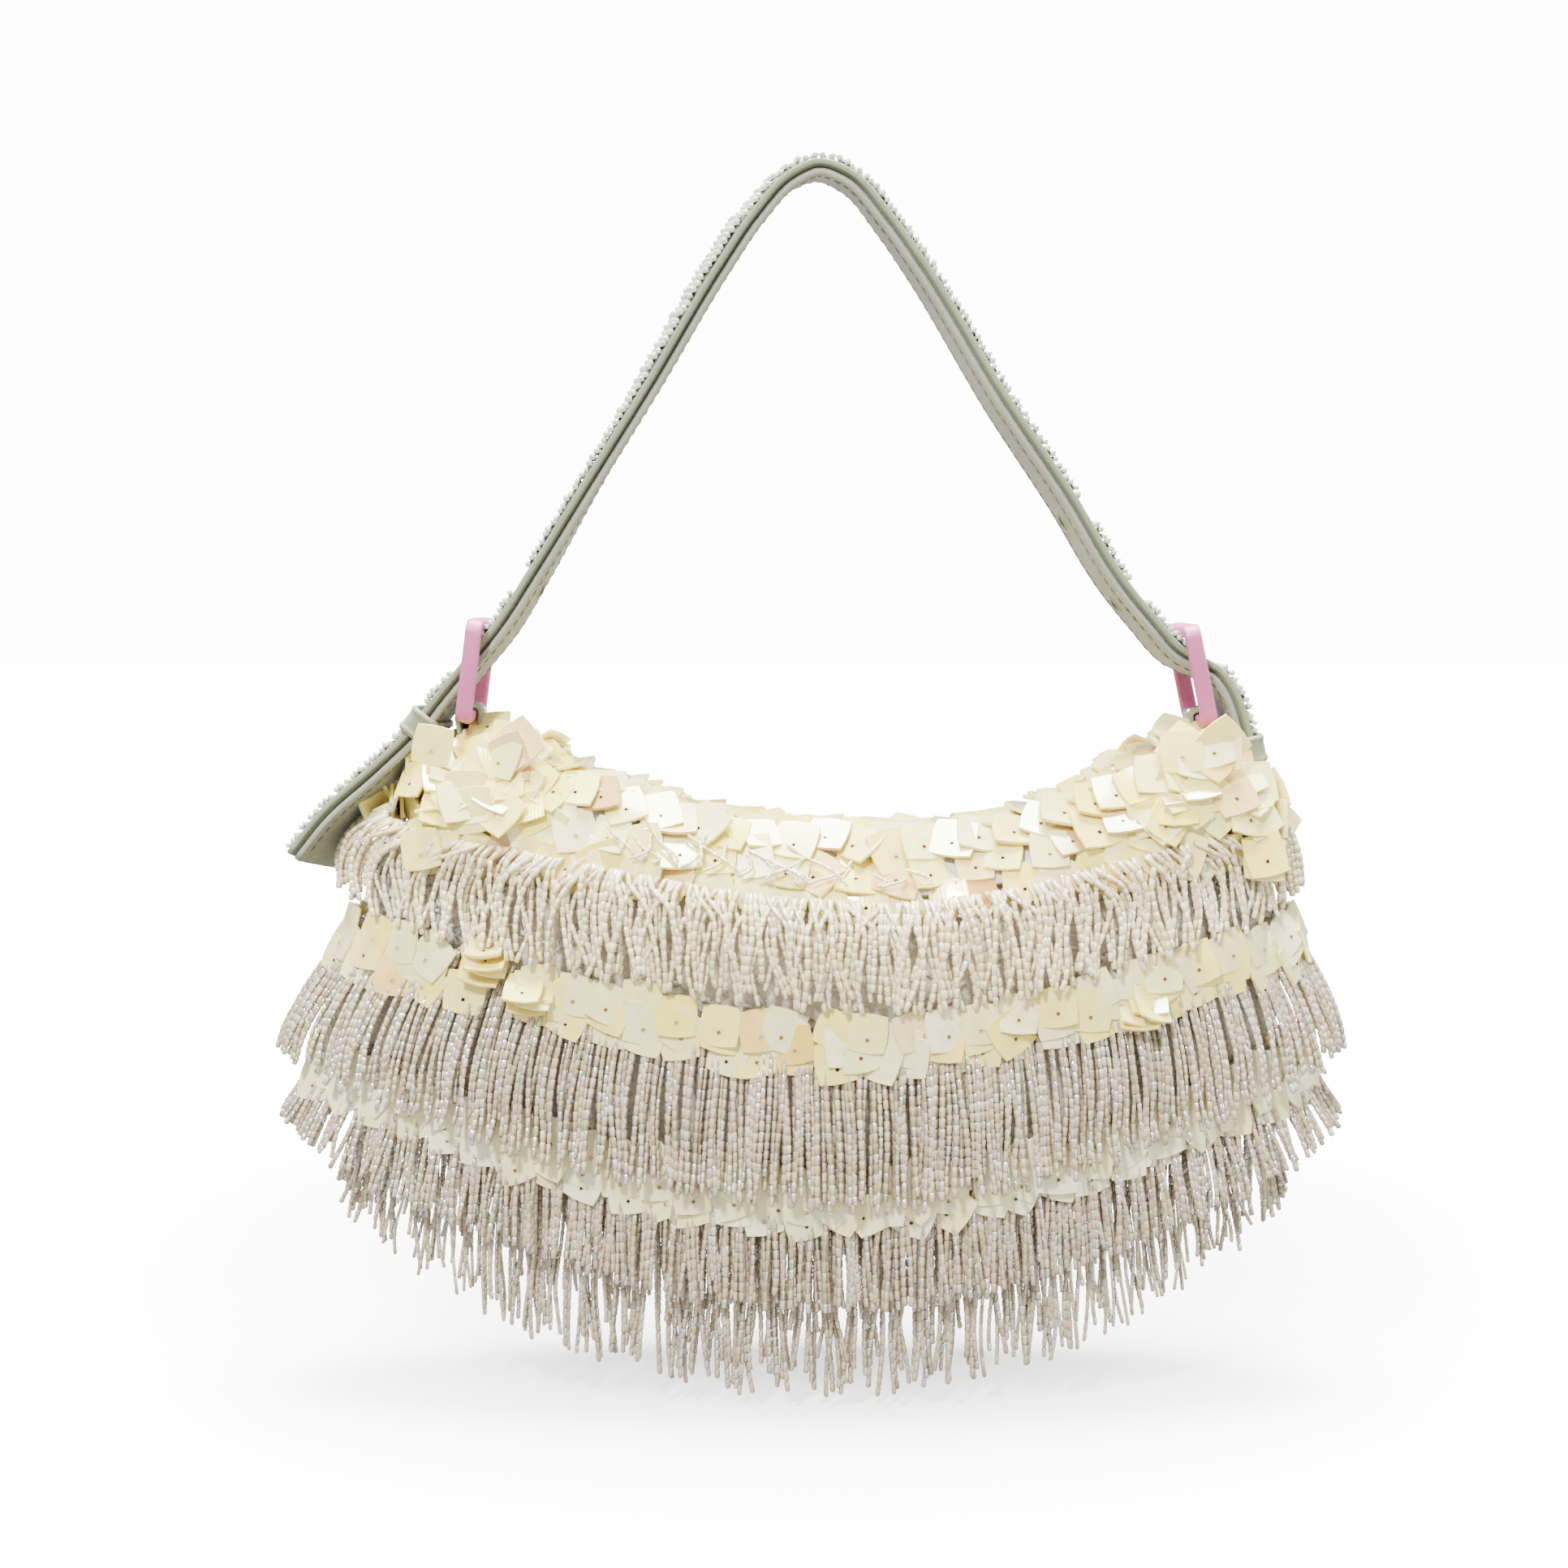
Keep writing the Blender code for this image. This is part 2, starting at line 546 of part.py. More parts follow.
class StrapLine:
    """The seam between the strap's two layers, as a smooth curve with a roll."""

    def __init__(self):
        top = STRAP_LAYER + STRAP_GROOVE / 2
        fall = CROSSING_DROP + top
        ends = [BUCKLE_MIDDLE_X + side * BUCKLE_SPAN / 2 for side in (-1, 1)]
        rows = []
        for row in reversed(LEFT_TAIL):
            x = ends[0] - row["out"] * TAIL_LENGTH
            rows.append((x, -CROSSING_DROP - row["drop"] * TAIL_LENGTH, row["roll"]))
        rows.append((ends[0], -CROSSING_DROP, 2))
        for row in reversed(LEFT_LEG):
            rows.append((row["reach"] * ends[0], top - row["drop"] * fall, row["roll"]))
        rows.append((0.0, top, -5))
        for row in RIGHT_LEG:
            rows.append((row["reach"] * ends[1], top - row["drop"] * fall, row["roll"]))
        rows.append((ends[1], -CROSSING_DROP, 3))
        for row in RIGHT_STUB:
            x = ends[1] + row["out"] * STUB_LENGTH
            rows.append((x, -CROSSING_DROP - row["drop"] * STUB_LENGTH, row["roll"]))
        self.rows = np.array(rows)
        steps = np.linalg.norm(np.diff(self.rows[:, :2], axis=0), axis=1)
        self.knots = np.concatenate([[0], np.cumsum(steps)])
        self.length = self.knots[-1]
        self.crossings = (self.knots[len(LEFT_TAIL)], self.knots[-1 - len(RIGHT_STUB)])

    def stations(self):
        """The table's own places, with others between them where they lie far apart."""
        places = [0.0]
        for start, end in zip(self.knots, self.knots[1:]):
            parts = max(1, round((end - start) / STRAP_STRIDE))
            places += [start + (end - start) * i / parts for i in range(1, parts + 1)]
        return places

    def frame(self, along):
        """Point, direction, outward normal and width direction at a distance along the strap."""
        small = 1e-4
        x, z, roll = (smooth(along, self.knots, self.rows[:, i]) for i in range(3))
        ahead = [smooth(along + small, self.knots, self.rows[:, i]) for i in range(2)]
        behind = [smooth(along - small, self.knots, self.rows[:, i]) for i in range(2)]
        dx, dz = ahead[0] - behind[0], ahead[1] - behind[1]
        way = Vector((float(dx), 0, float(dz))).normalized()
        flat = Vector((-way.z, 0, way.x))
        turn = math.radians(float(roll))
        depth = Vector((0, 1, 0))
        normal = flat * math.cos(turn) + depth * math.sin(turn)
        width = depth * math.cos(turn) - flat * math.sin(turn)
        return Vector((float(x), 0, float(z))), way, normal, width


def rounded_section(half_width, low, high, edge):
    """Eight corners of a flat bar with its edges taken off, as pairs across and through the strap."""
    w = half_width
    return [
        (-w + edge, low), (w - edge, low), (w, low + edge), (w, high - edge),
        (w - edge, high), (-w + edge, high), (-w, high - edge), (-w, low + edge),
    ]


def make_strap(bag, line, name, low, high):
    section = rounded_section(STRAP_WIDTH / 2, low, high, STRAP_EDGE)
    sections = []
    for along in line.stations():
        point, _, normal, width = line.frame(along)
        sections.append([tuple(point + width * a + normal * b) for a, b in section])
    mesh = loft(name, np.array(sections), closed=False)
    round_shading(mesh)
    return bag.add(name, mesh, "satin")


def round_bar(row, degrees, room):
    """A place round the lower bar, at a distance from its faces, on a rounded rectangle."""
    _, bar, up, out = buckle_bar(row)
    turn = math.radians(degrees)
    c, s = math.cos(turn), math.sin(turn)
    over = math.copysign(abs(c) ** BAR_ROUNDING, c) * (BUCKLE_DEPTH / 2 + room)
    high = math.copysign(abs(s) ** BAR_ROUNDING, s) * (BUCKLE_BAR / 2 + room)
    return bar + out * over + up * high


def pin_line(row):
    """Foot of the pin beside the lower bar and its tip beside the upper bar."""
    _, bar, up, _ = buckle_bar(row)
    foot = round_bar(row, 0, GAP + PRONG_RADIUS)
    return foot, foot + up * (BUCKLE_HEIGHT - BUCKLE_BAR)


def rod_cutter(name, start, end, width, length, across):
    """An oval rod between two points, wider by length / width along the direction across."""
    mesh = bpy.data.meshes.new(name)
    work = bmesh.new()
    bmesh.ops.create_cone(
        work, cap_ends=True, segments=12, radius1=0.5, radius2=0.5, depth=(end - start).length
    )
    axis = (end - start).normalized()
    side = (across - axis * across.dot(axis)).normalized()
    other = axis.cross(side)
    turn = Matrix((side * length, other * width, axis)).transposed().to_4x4()
    turn.translation = (start + end) / 2
    bmesh.ops.transform(work, matrix=turn, verts=work.verts)
    bmesh.ops.recalc_face_normals(work, faces=work.faces)
    work.to_mesh(mesh)
    work.free()
    return bpy.data.objects.new(name, mesh)


def pierce_strap(bag, line, layers):
    """The slots that the pins pass through and the spare holes above them."""
    for row, crossing in zip(BUCKLES, line.crossings):
        foot, tip = pin_line(row)
        room = 2 * (PRONG_RADIUS + PRONG_CLEARANCE)
        past = (tip - foot) * 0.2
        slot = rod_cutter(f"slot_{row['name']}", foot - past, tip - past, room, room, Vector((0, 1, 0)))
        for layer in layers:
            bag.cut(layer, slot, slot.name)
        for count in row["holes"]:
            point, way, normal, _ = line.frame(crossing - row["side"] * count * HOLE_PITCH)
            deep = normal * STRAP_LAYER * 2
            name = f"hole_{row['name']}_{count}"
            hole = rod_cutter(name, point - deep, point + deep, HOLE_WIDTH, HOLE_LENGTH, way)
            for layer in layers:
                bag.cut(layer, hole, hole.name)


def make_buckle(bag, row):
    """A rectangular frame that stands edge-on to the front, leaning towards the strap."""
    centre, _, up, out = buckle_bar(row)
    turn = Matrix((out * row["side"], Vector((0, 1, 0)), up)).transposed().to_4x4()
    turn.translation = centre

    def block(name, sizes):
        mesh = bpy.data.meshes.new(name)
        work = bmesh.new()
        bmesh.ops.create_cube(work, size=1)
        bmesh.ops.scale(work, vec=sizes, verts=work.verts)
        work.to_mesh(mesh)
        work.free()
        return mesh

    window = (2 * BUCKLE_DEPTH, BUCKLE_WIDTH - 2 * BUCKLE_BAR, BUCKLE_HEIGHT - 2 * BUCKLE_BAR)
    name = f"buckle_{row['name']}"
    frame = bag.add(name, block(name, (BUCKLE_DEPTH, BUCKLE_WIDTH, BUCKLE_HEIGHT)), "enamel")
    frame.matrix_world = turn
    cutter = bpy.data.objects.new(f"window_{row['name']}", block(f"window_{row['name']}", window))
    cutter.matrix_world = turn
    bag.cut(frame, cutter, "window")
    edge = frame.modifiers.new("edge", "BEVEL")
    edge.width = BUCKLE_EDGE
    edge.segments = 1
    edge.limit_method = "ANGLE"


def make_prong(bag, row):
    """A pin that curls round the lower bar and reaches up to the upper bar."""
    foot, tip = pin_line(row)
    points = [tip, foot.lerp(tip, 0.5)]
    for degrees in np.linspace(0, -PRONG_CURL, 12):
        points.append(round_bar(row, degrees, GAP + PRONG_RADIUS))
    curve = bpy.data.curves.new(f"prong_{row['name']}", "CURVE")
    curve.dimensions = "3D"
    curve.bevel_depth = PRONG_RADIUS
    curve.bevel_resolution = 2
    curve.use_fill_caps = True
    spline = curve.splines.new("POLY")
    spline.points.add(len(points) - 1)
    for spot, point in zip(spline.points, points):
        spot.co = (*point, 1)
    bag.add(f"prong_{row['name']}", curve, "silver")


def ribbon(name, path, normals, width, thickness):
    """A flat band along a path in the XZ plane, with a rectangular section."""
    sections = []
    for point, normal in zip(path, normals):
        corners = ((-0.5, -0.5), (0.5, -0.5), (0.5, 0.5), (-0.5, 0.5))
        sections.append([
            (point.x + normal.x * thickness * b, width * a, point.z + normal.z * thickness * b)
            for a, b in corners
        ])
    return loft(name, np.array(sections), closed=False)


def end_surface(side, level):
    """The body's end at a level and its outward direction in the XZ plane."""
    angle = 0.0 if side > 0 else math.pi
    step = 0.004
    here = Vector(ring(angle, level).tolist())
    below = Vector(ring(angle, level + step).tolist())
    down = (below - here).normalized()
    return here, Vector((-down.z, 0, down.x)) * side


def make_tab(bag, row):
    """A cloth loop round the lower bar whose two legs straddle the wall at the end of the rim."""
    _, bar, up, _ = buckle_bar(row)
    side = row["side"]
    room = GAP + TAB_THICKNESS / 2
    rim, _ = end_surface(side, 0.0)
    inner_x = rim.x - side * (POUCH_WALL + TAB_ROOM + TAB_THICKNESS / 2)
    inward = Vector((-side, 0, 0))
    path = [Vector((inner_x, 0, rim.z - TAB_REACH)), Vector((inner_x, 0, rim.z + GAP))]
    normals = [inward, inward]
    for degrees in np.linspace(190, -10, 11):
        place = round_bar(row, degrees, room)
        path.append(place)
        normals.append((place - bar).normalized())
    for level in (0.0, 0.015, 0.03, 0.045):
        here, normal = end_surface(side, level)
        path.append(here + normal * (TAB_ROOM / 2 + TAB_THICKNESS / 2))
        normals.append(normal)
    name = f"tab_{row['name']}"
    tab = bag.add(name, ribbon(name, path, normals, TAB_WIDTH, TAB_THICKNESS), "satin")
    slit = 2 * (PRONG_RADIUS + PRONG_CLEARANCE)
    height = 2 * (BUCKLE_BAR + 2 * room + PRONG_RADIUS)
    mesh = bpy.data.meshes.new(f"slit_{row['name']}")
    work = bmesh.new()
    bmesh.ops.create_cube(work, size=1)
    bmesh.ops.scale(work, vec=(3 * BUCKLE_DEPTH, slit, height), verts=work.verts)
    bmesh.ops.translate(work, vec=bar, verts=work.verts)
    work.to_mesh(mesh)
    work.free()
    bag.cut(tab, bpy.data.objects.new(mesh.name, mesh), "slit")


def make_keeper(bag, line, name, along):
    """A loop round both layers and their beads, with a raised rib at each edge."""
    point, way, normal, width = line.frame(along)
    low = -(STRAP_LAYER + STRAP_GROOVE / 2 + GAP)
    high = STRAP_LAYER + STRAP_GROOVE / 2 + KEEPER_BEAD_ROOM
    side = STRAP_WIDTH / 2 + GAP
    loop = rounded_section(side, low, high, KEEPER_CORNER)
    corner = KEEPER_CORNER + KEEPER_WALL / 2
    wall, rib = KEEPER_WALL, KEEPER_WALL + KEEPER_RIB
    grown = rounded_section(side + wall, low - wall, high + wall, corner)
    ribbed = rounded_section(side + rib, low - rib, high + rib, corner)
    half = KEEPER_LENGTH / 2
    sections = []
    for inner, outer, rib in zip(loop, grown, ribbed):
        profile = [
            (inner, -half), (rib, -half), (rib, -half * 0.72), (outer, -half * 0.6),
            (outer, half * 0.6), (rib, half * 0.72), (rib, half), (inner, half),
        ]
        sections.append([tuple(point + width * a + normal * b + way * s) for (a, b), s in profile])
    bag.add(name, loft(name, np.array(sections), closed=True), "satin")


def build():
    for thing in list(bpy.data.objects):
        bpy.data.objects.remove(thing, do_unlink=True)
    bag = Bag()
    make_pouch(bag)
    make_flap(bag)
    make_field(bag)
    for seed, row in enumerate(FRINGES):
        make_fringe(bag, row, seed)
    rows = {row["name"]: row for row in FRINGES}
    for band in BANDS:
        make_band(bag, band, rows[band["row"]])
    line = StrapLine()
    groove = STRAP_GROOVE / 2
    outer = make_strap(bag, line, "strap_outer", groove, groove + STRAP_LAYER)
    lining = make_strap(bag, line, "strap_lining", -groove - STRAP_LAYER, -groove)
    pierce_strap(bag, line, (outer, lining))
    for row in BUCKLES:
        make_buckle(bag, row)
        make_prong(bag, row)
        make_tab(bag, row)
    make_keeper(bag, line, "keeper_left", line.crossings[0] - KEEPER_DISTANCE)
    make_keeper(bag, line, "keeper_right", line.length - KEEPER_END)


build()
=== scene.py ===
import math

import bmesh
import bpy
import numpy as np
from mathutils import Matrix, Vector


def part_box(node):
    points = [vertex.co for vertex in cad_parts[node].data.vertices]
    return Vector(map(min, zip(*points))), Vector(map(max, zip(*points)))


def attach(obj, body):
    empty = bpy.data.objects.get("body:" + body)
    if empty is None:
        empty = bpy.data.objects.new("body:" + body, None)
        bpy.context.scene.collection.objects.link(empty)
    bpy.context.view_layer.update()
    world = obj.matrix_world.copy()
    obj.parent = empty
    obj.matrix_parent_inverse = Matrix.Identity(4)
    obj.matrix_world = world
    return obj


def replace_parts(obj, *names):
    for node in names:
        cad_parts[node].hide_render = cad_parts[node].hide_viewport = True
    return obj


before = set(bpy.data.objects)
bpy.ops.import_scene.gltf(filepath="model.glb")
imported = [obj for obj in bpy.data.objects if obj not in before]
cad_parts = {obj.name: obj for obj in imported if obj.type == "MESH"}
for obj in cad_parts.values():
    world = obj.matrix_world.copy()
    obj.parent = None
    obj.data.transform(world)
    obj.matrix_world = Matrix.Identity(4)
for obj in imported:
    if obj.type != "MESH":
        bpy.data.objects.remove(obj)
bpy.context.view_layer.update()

# The bag's own sizes, in metres, with its origin at the underside of the strap's top
BODY_HALF_WIDTH, BODY_HALF_DEPTH, BODY_HEIGHT = 0.139, 0.031, 0.121
POUCH_WALL, RIM_DROP = 0.0022, 0.1945
FLAP_THICKNESS, FLAP_LIFT, FLAP_CROWN = 0.0018, 0.0013, 0.0022
FLAP_EDGE_LEVEL, FLAP_BACK_LEVEL = 0.100, 0.025
MOUTH_REACH, FRONT_REACH, REACH_START, REACH_STRIDE = 0.88, 0.98, 0.74, 0.16
CORNER_ROOM, BUNCHING = 0.0012, 1.15
FRINGE_LENGTH, FRINGE_THICKNESS, WIDEST_LEVEL = 0.047, 0.0030, 0.73
SOFT_GAP, GAP = 0.0005, 0.0003
OVER_FLAP = FLAP_LIFT + 1.6 * FLAP_THICKNESS
STRAP_WIDTH, STRAP_LAYER, STRAP_GROOVE = 0.025, 0.0023, 0.0008
STRAP_FACE = STRAP_LAYER + STRAP_GROOVE / 2
TAIL_LENGTH, STUB_LENGTH = 0.076, 0.030
CHANNEL_SHARE = 0.38
HOLE_PITCH, HOLE_WIDTH, HOLE_LENGTH = 0.0285, 0.0026, 0.0048
BUCKLE_SPAN, BUCKLE_MIDDLE_X, CROSSING_DROP = 0.2104, 0.0048, 0.1402
BUCKLE_WIDTH, BUCKLE_HEIGHT, BUCKLE_DEPTH, BUCKLE_BAR = 0.036, 0.030, 0.0047, 0.0035
PRONG_RADIUS, BAR_ROUNDING = 0.0009, 0.45
KEEPER_LENGTH, KEEPER_WALL, KEEPER_RIB = 0.0080, 0.0010, 0.0005
KEEPER_BEAD_ROOM, KEEPER_DISTANCE, KEEPER_END = 0.0018, 0.0230, 0.0050
TAB_WIDTH, TAB_THICKNESS, TAB_REACH, TAB_ROOM = 0.0130, 0.0014, 0.0070, 0.0018

# level, left reach, right reach, depth, lift at the ends, place of the low point, ease, oval power
BODY_RINGS = np.array([
    (0.00, 0.000, 0.000, 0.56, 0.262, 0.16, 0.0, 5.0),
    (0.09, 0.875, 0.900, 0.85, 0.155, 0.13, 0.9, 2.9),
    (0.36, 0.945, 0.965, 1.00, 0.215, 0.08, 0.6, 2.4),
    (0.73, 1.000, 0.978, 0.97, 0.290, 0.04, 0.3, 2.3),
    (0.90, 0.940, 0.925, 0.76, 0.270, 0.00, 0.2, 2.3),
    (1.00, 0.640, 0.630, 0.26, 0.130, 0.00, 0.1, 2.3),
])
# way, body level, side, share of the crown
FLAP_LINE = np.array([
    (0.00, FLAP_BACK_LEVEL, 1.0, 0.0), (0.14, 0, 1.0, 0.0), (0.30, 0, 0.5, 0.7), (0.43, 0, 0.0, 1.0),
    (0.56, 0, -0.5, 0.7), (0.72, 0, -1.0, 0.0), (0.86, FLAP_EDGE_LEVEL / 2, -1.0, 0.0),
    (1.00, FLAP_EDGE_LEVEL, -1.0, 0.0),
])
# share of the way out, share of the drop, roll in degrees
LEFT_LEG = [(0.076, 0.019, -7), (0.187, 0.094, -10), (0.287, 0.196, -10), (0.485, 0.430, -8),
            (0.671, 0.646, -4), (0.816, 0.818, 0), (0.914, 0.927, 2)]
RIGHT_LEG = [(0.071, 0.020, -3), (0.176, 0.108, -1), (0.254, 0.192, 0), (0.483, 0.477, 2),
             (0.646, 0.662, 3), (0.791, 0.840, 3), (0.871, 0.915, 3), (0.955, 0.983, 3)]
LEFT_TAIL = [(0.122, 0.150, 3), (0.189, 0.240, 4), (0.357, 0.425, 10), (0.539, 0.607, 16),
             (0.650, 0.760, 20)]
RIGHT_STUB = [(0.170, 0.085, 2), (0.310, 0.270, 1), (0.410, 0.490, 0), (0.470, 0.720, 0), (0.530, 0.980, 0)]
TOP_ROLL, CROSSING_ROLLS = -5, (2, 3)
BUCKLES = [
    dict(name="left", side=-1, below_crossing=0.04, lean=7.5, holes=(1,)),
    dict(name="right", side=1, below_crossing=0.09, lean=12.0, holes=(1, 2)),
]
FRINGES = {
    "flap": dict(front=0.095, back=0.035, length=0.62, end=0.46, splay=4, end_splay=4, over=True),
    "middle": dict(front=0.385, back=0.385, length=1.0, end=0.80, splay=9, end_splay=23, over=False),
    "lower": dict(front=0.727, back=0.727, length=0.80, end=0.60, splay=4, end_splay=32, over=False),
    "hem": dict(front=0.890, back=0.890, length=1.03, end=0.66, splay=1, end_splay=9, over=False),
}
BEAD_LENGTH = 0.0031
PLATE_THICKNESS, PLATE_PITCH = 0.0011, 0.0103
# way over the flap, lift off it, drop towards the fringe
TOP_ROWS = np.array([
    (0.06, 0, 0), (0.20, 0, 0), (0.34, 0, 0), (0.48, 0.0003, 0), (0.62, 0.0010, 0), (0.75, 0.0016, 0),
    (0.86, 0.0020, 0.0020), (0.97, 0.0018, 0.0045),
])
# x and z of the crest of each shoulder's mound, and two corners of the box for its upright plates
LEFT_CREST = np.array([
    (-0.113, -0.163), (-0.107, -0.156), (-0.098, -0.152), (-0.086, -0.153), (-0.076, -0.161),
    (-0.066, -0.169),
])
RIGHT_CREST = np.array([
    (0.084, -0.168), (0.090, -0.163), (0.099, -0.156), (0.107, -0.152), (0.116, -0.152), (0.124, -0.158),
    (0.131, -0.168),
])
LEFT_STAND = np.array([(-0.130, -0.018, -0.184), (-0.112, 0.012, -0.168)])
RIGHT_STAND = np.array([(0.122, -0.018, -0.192), (0.137, 0.012, -0.176)])
MOUND_FALL = 0.026
NESTS = np.array([
    (-0.095, -0.031, -0.223), (-0.082, -0.0335, -0.230), (0.093, -0.032, -0.236), (0.137, -0.008, -0.254),
])
STUDIO_WHITE = 14.0


# Numbers to places

def smooth(at, knots, values):
    """Cubic curve through values at knots, each knot's slope being the central difference of its neighbours.
    values may hold one column for each place in at."""
    knots, values = np.asarray(knots), np.asarray(values, float)
    slopes = np.gradient(values, knots, axis=0)
    i = np.clip(np.searchsorted(knots, at, side="right") - 1, 0, len(knots) - 2)
    step = knots[i + 1] - knots[i]
    t = (at - knots[i]) / step
    column = ()
    if values.ndim > 1:
        column, t, step = (np.arange(len(at)),), t[:, None], step[:, None]
    v0, v1, s0, s1 = (rows[(k, *column)] for rows in (values, slopes) for k in (i, i + 1))
    a = (1 + 2 * t) * (1 - t) ** 2 * v0 + t * (1 - t) ** 2 * step * s0
    return a + t * t * (3 - 2 * t) * v1 + t * t * (t - 1) * step * s1


def unit(v):
    return v / np.maximum(np.linalg.norm(v, axis=-1, keepdims=True), 1e-12)


def stacked(*parts):
    """Arrays and numbers side by side along a new last axis."""
    return np.stack(np.broadcast_arrays(*parts), axis=-1)


def eased(t):
    """A share that starts and ends slowly."""
    return t * t * (3 - 2 * t)


def turns(count, start=0.0):
    """Even steps round a circle."""
    return (np.arange(count) + start) / count * 2 * math.pi


def signed(v, power):
    """A power of the size of a value, with the value's sign."""
    return np.sign(v) * np.abs(v) ** power


def buckle_bar(row):
    """Centre of a frame, centre of its lower bar, and its up and outward directions."""
    lean = math.radians(row["lean"])
    x = BUCKLE_MIDDLE_X + row["side"] * BUCKLE_SPAN / 2
    centre = np.array([x, 0, -CROSSING_DROP - row["below_crossing"] * BUCKLE_HEIGHT])
    up = np.array([-row["side"] * math.sin(lean), 0, math.cos(lean)])
    out = np.array([row["side"] * math.cos(lean), 0, math.sin(lean)])
    return centre, centre - up * (BUCKLE_HEIGHT - BUCKLE_BAR) / 2, up, out


DEPTH = np.array([0, 1.0, 0])
LEVELS, _, _, DEPTHS, LIFTS, LOWS, EASES, POWERS = BODY_RINGS.T
RIMS = [abs(buckle_bar(row)[1][0]) + POUCH_WALL / 2 for row in BUCKLES]
LEFT_REACH, RIGHT_REACH = (np.append(RIMS[i], BODY_RINGS[1:, 1 + i] * BODY_HALF_WIDTH) for i in (0, 1))


def body_point(across, deep, level, out=0.0):
    """The body from unit plan coordinates and a level: x and y scale with the level's reach and depth, and z
    rises from the low point to both ends as (1-ease) s^2 + ease (1-cos(pi s))/2, s being the share out."""
    reach = np.where(across < 0, smooth(level, LEVELS, LEFT_REACH), smooth(level, LEVELS, RIGHT_REACH))
    depth = smooth(level, LEVELS, DEPTHS) * BODY_HALF_DEPTH
    lift, low, ease = (smooth(level, LEVELS, column) for column in (LIFTS, LOWS, EASES))
    low = low * BODY_HALF_WIDTH
    x = across * reach
    s = np.clip(np.abs(x - low) / (reach + np.where(across < 0, low, -low)), 0, 1)
    rise = (1 - ease) * s**2 + ease * (1 - np.cos(math.pi * s)) / 2
    z = -RIM_DROP - level * BODY_HEIGHT + rise * lift * BODY_HEIGHT
    return stacked(x + across * out, deep * (depth + out), z)


def ring(angle, level, out=0.0):
    """A place round the body: |x|^n + |y|^n = 1 in plan at an angle, +X first and +Y, the back, next."""
    power = 2 / smooth(level, LEVELS, POWERS)
    return body_point(signed(np.cos(angle), power), signed(np.sin(angle), power), level, out)


def even_angles(level, out, pitch, first=0.0, last=2 * math.pi):
    """Angles between two that step evenly along a ring."""
    fine = np.linspace(first, last, 1441)
    steps = np.linalg.norm(np.diff(ring(fine, np.full(1441, level), out), axis=0), axis=1)
    along = np.append(0, np.cumsum(steps))
    count = round(along[-1] / pitch)
    return np.interp((np.arange(count) + 0.5) / count * along[-1], along, fine)


def flap_curve(share, way):
    """The flap's line from its back edge over the mouth to its front edge, through FLAP_LINE's knots."""
    wider = eased(np.clip((way - REACH_START) / REACH_STRIDE, 0, 1))
    across = share * (MOUTH_REACH + (FRONT_REACH - MOUTH_REACH) * wider)
    knots = []
    for _, level, side, crown in FLAP_LINE:
        square = smooth(np.array(level), LEVELS, POWERS)
        deep = side * (1 - np.abs(across) ** square) ** (1 / square)
        knot = body_point(across, deep, np.full(across.shape, level))
        knot[:, 2] += crown * FLAP_CROWN
        knots.append(knot)
    return smooth(way, FLAP_LINE[:, 0], np.array(knots))


def flap_point(share, way, out=0.0):
    """Places over the flap, out from its line, with the direction down the flap and the outward one."""
    share, way, out = (np.array(a, float) for a in np.broadcast_arrays(share, way, out))
    shape = share.shape
    share, way, out = share.ravel(), np.clip(way.ravel(), 0.0, 1.0), out.ravel()
    small = 0.01
    down = flap_curve(share, np.minimum(way + small, 1)) - flap_curve(share, np.maximum(way - small, 0))
    down[:, 0] = 0
    down = unit(down)
    outward = stacked(0, down[:, 2], -down[:, 1])
    place = flap_curve(share, way) + outward * (out + CORNER_ROOM * np.abs(share) ** 6)[:, None]
    return [a.reshape(shape + (3,)) for a in (place, down, outward)]


def row_length(row, angle):
    """A fringe row's length at an angle, which goes to its end length with |cos angle|^4."""
    return FRINGE_LENGTH * (row["length"] + (row["end"] - row["length"]) * np.abs(np.cos(angle)) ** 4)


def fringe_point(row, angle, way, out):
    """Places down a fringe row. It starts on the body's ring, keeps outside the body as far as that widens,
    and leans outwards by its splay, which grows with |cos angle|^4 towards the ends."""
    length = row_length(row, angle)
    splay = np.radians(row["splay"] + (row["end_splay"] - row["splay"]) * np.abs(np.cos(angle)) ** 4)
    level = row["front"] + (row["back"] - row["front"]) * eased((1 + np.sin(angle)) / 2)
    beside = np.clip(level + length * way / BODY_HEIGHT, level, np.maximum(level, WIDEST_LEVEL))
    across = signed(np.cos(angle), 2 / smooth(level, LEVELS, POWERS))
    square = smooth(beside, LEVELS, POWERS)
    deep = np.sign(np.sin(angle)) * (1 - np.abs(across) ** square) ** (1 / square)
    head = SOFT_GAP + (OVER_FLAP if row["over"] else 0)
    place = body_point(across, deep, beside, head + out + length * way * np.sin(splay))
    place[..., 2] = ring(angle, level)[..., 2] - length * way * np.cos(splay)
    return place


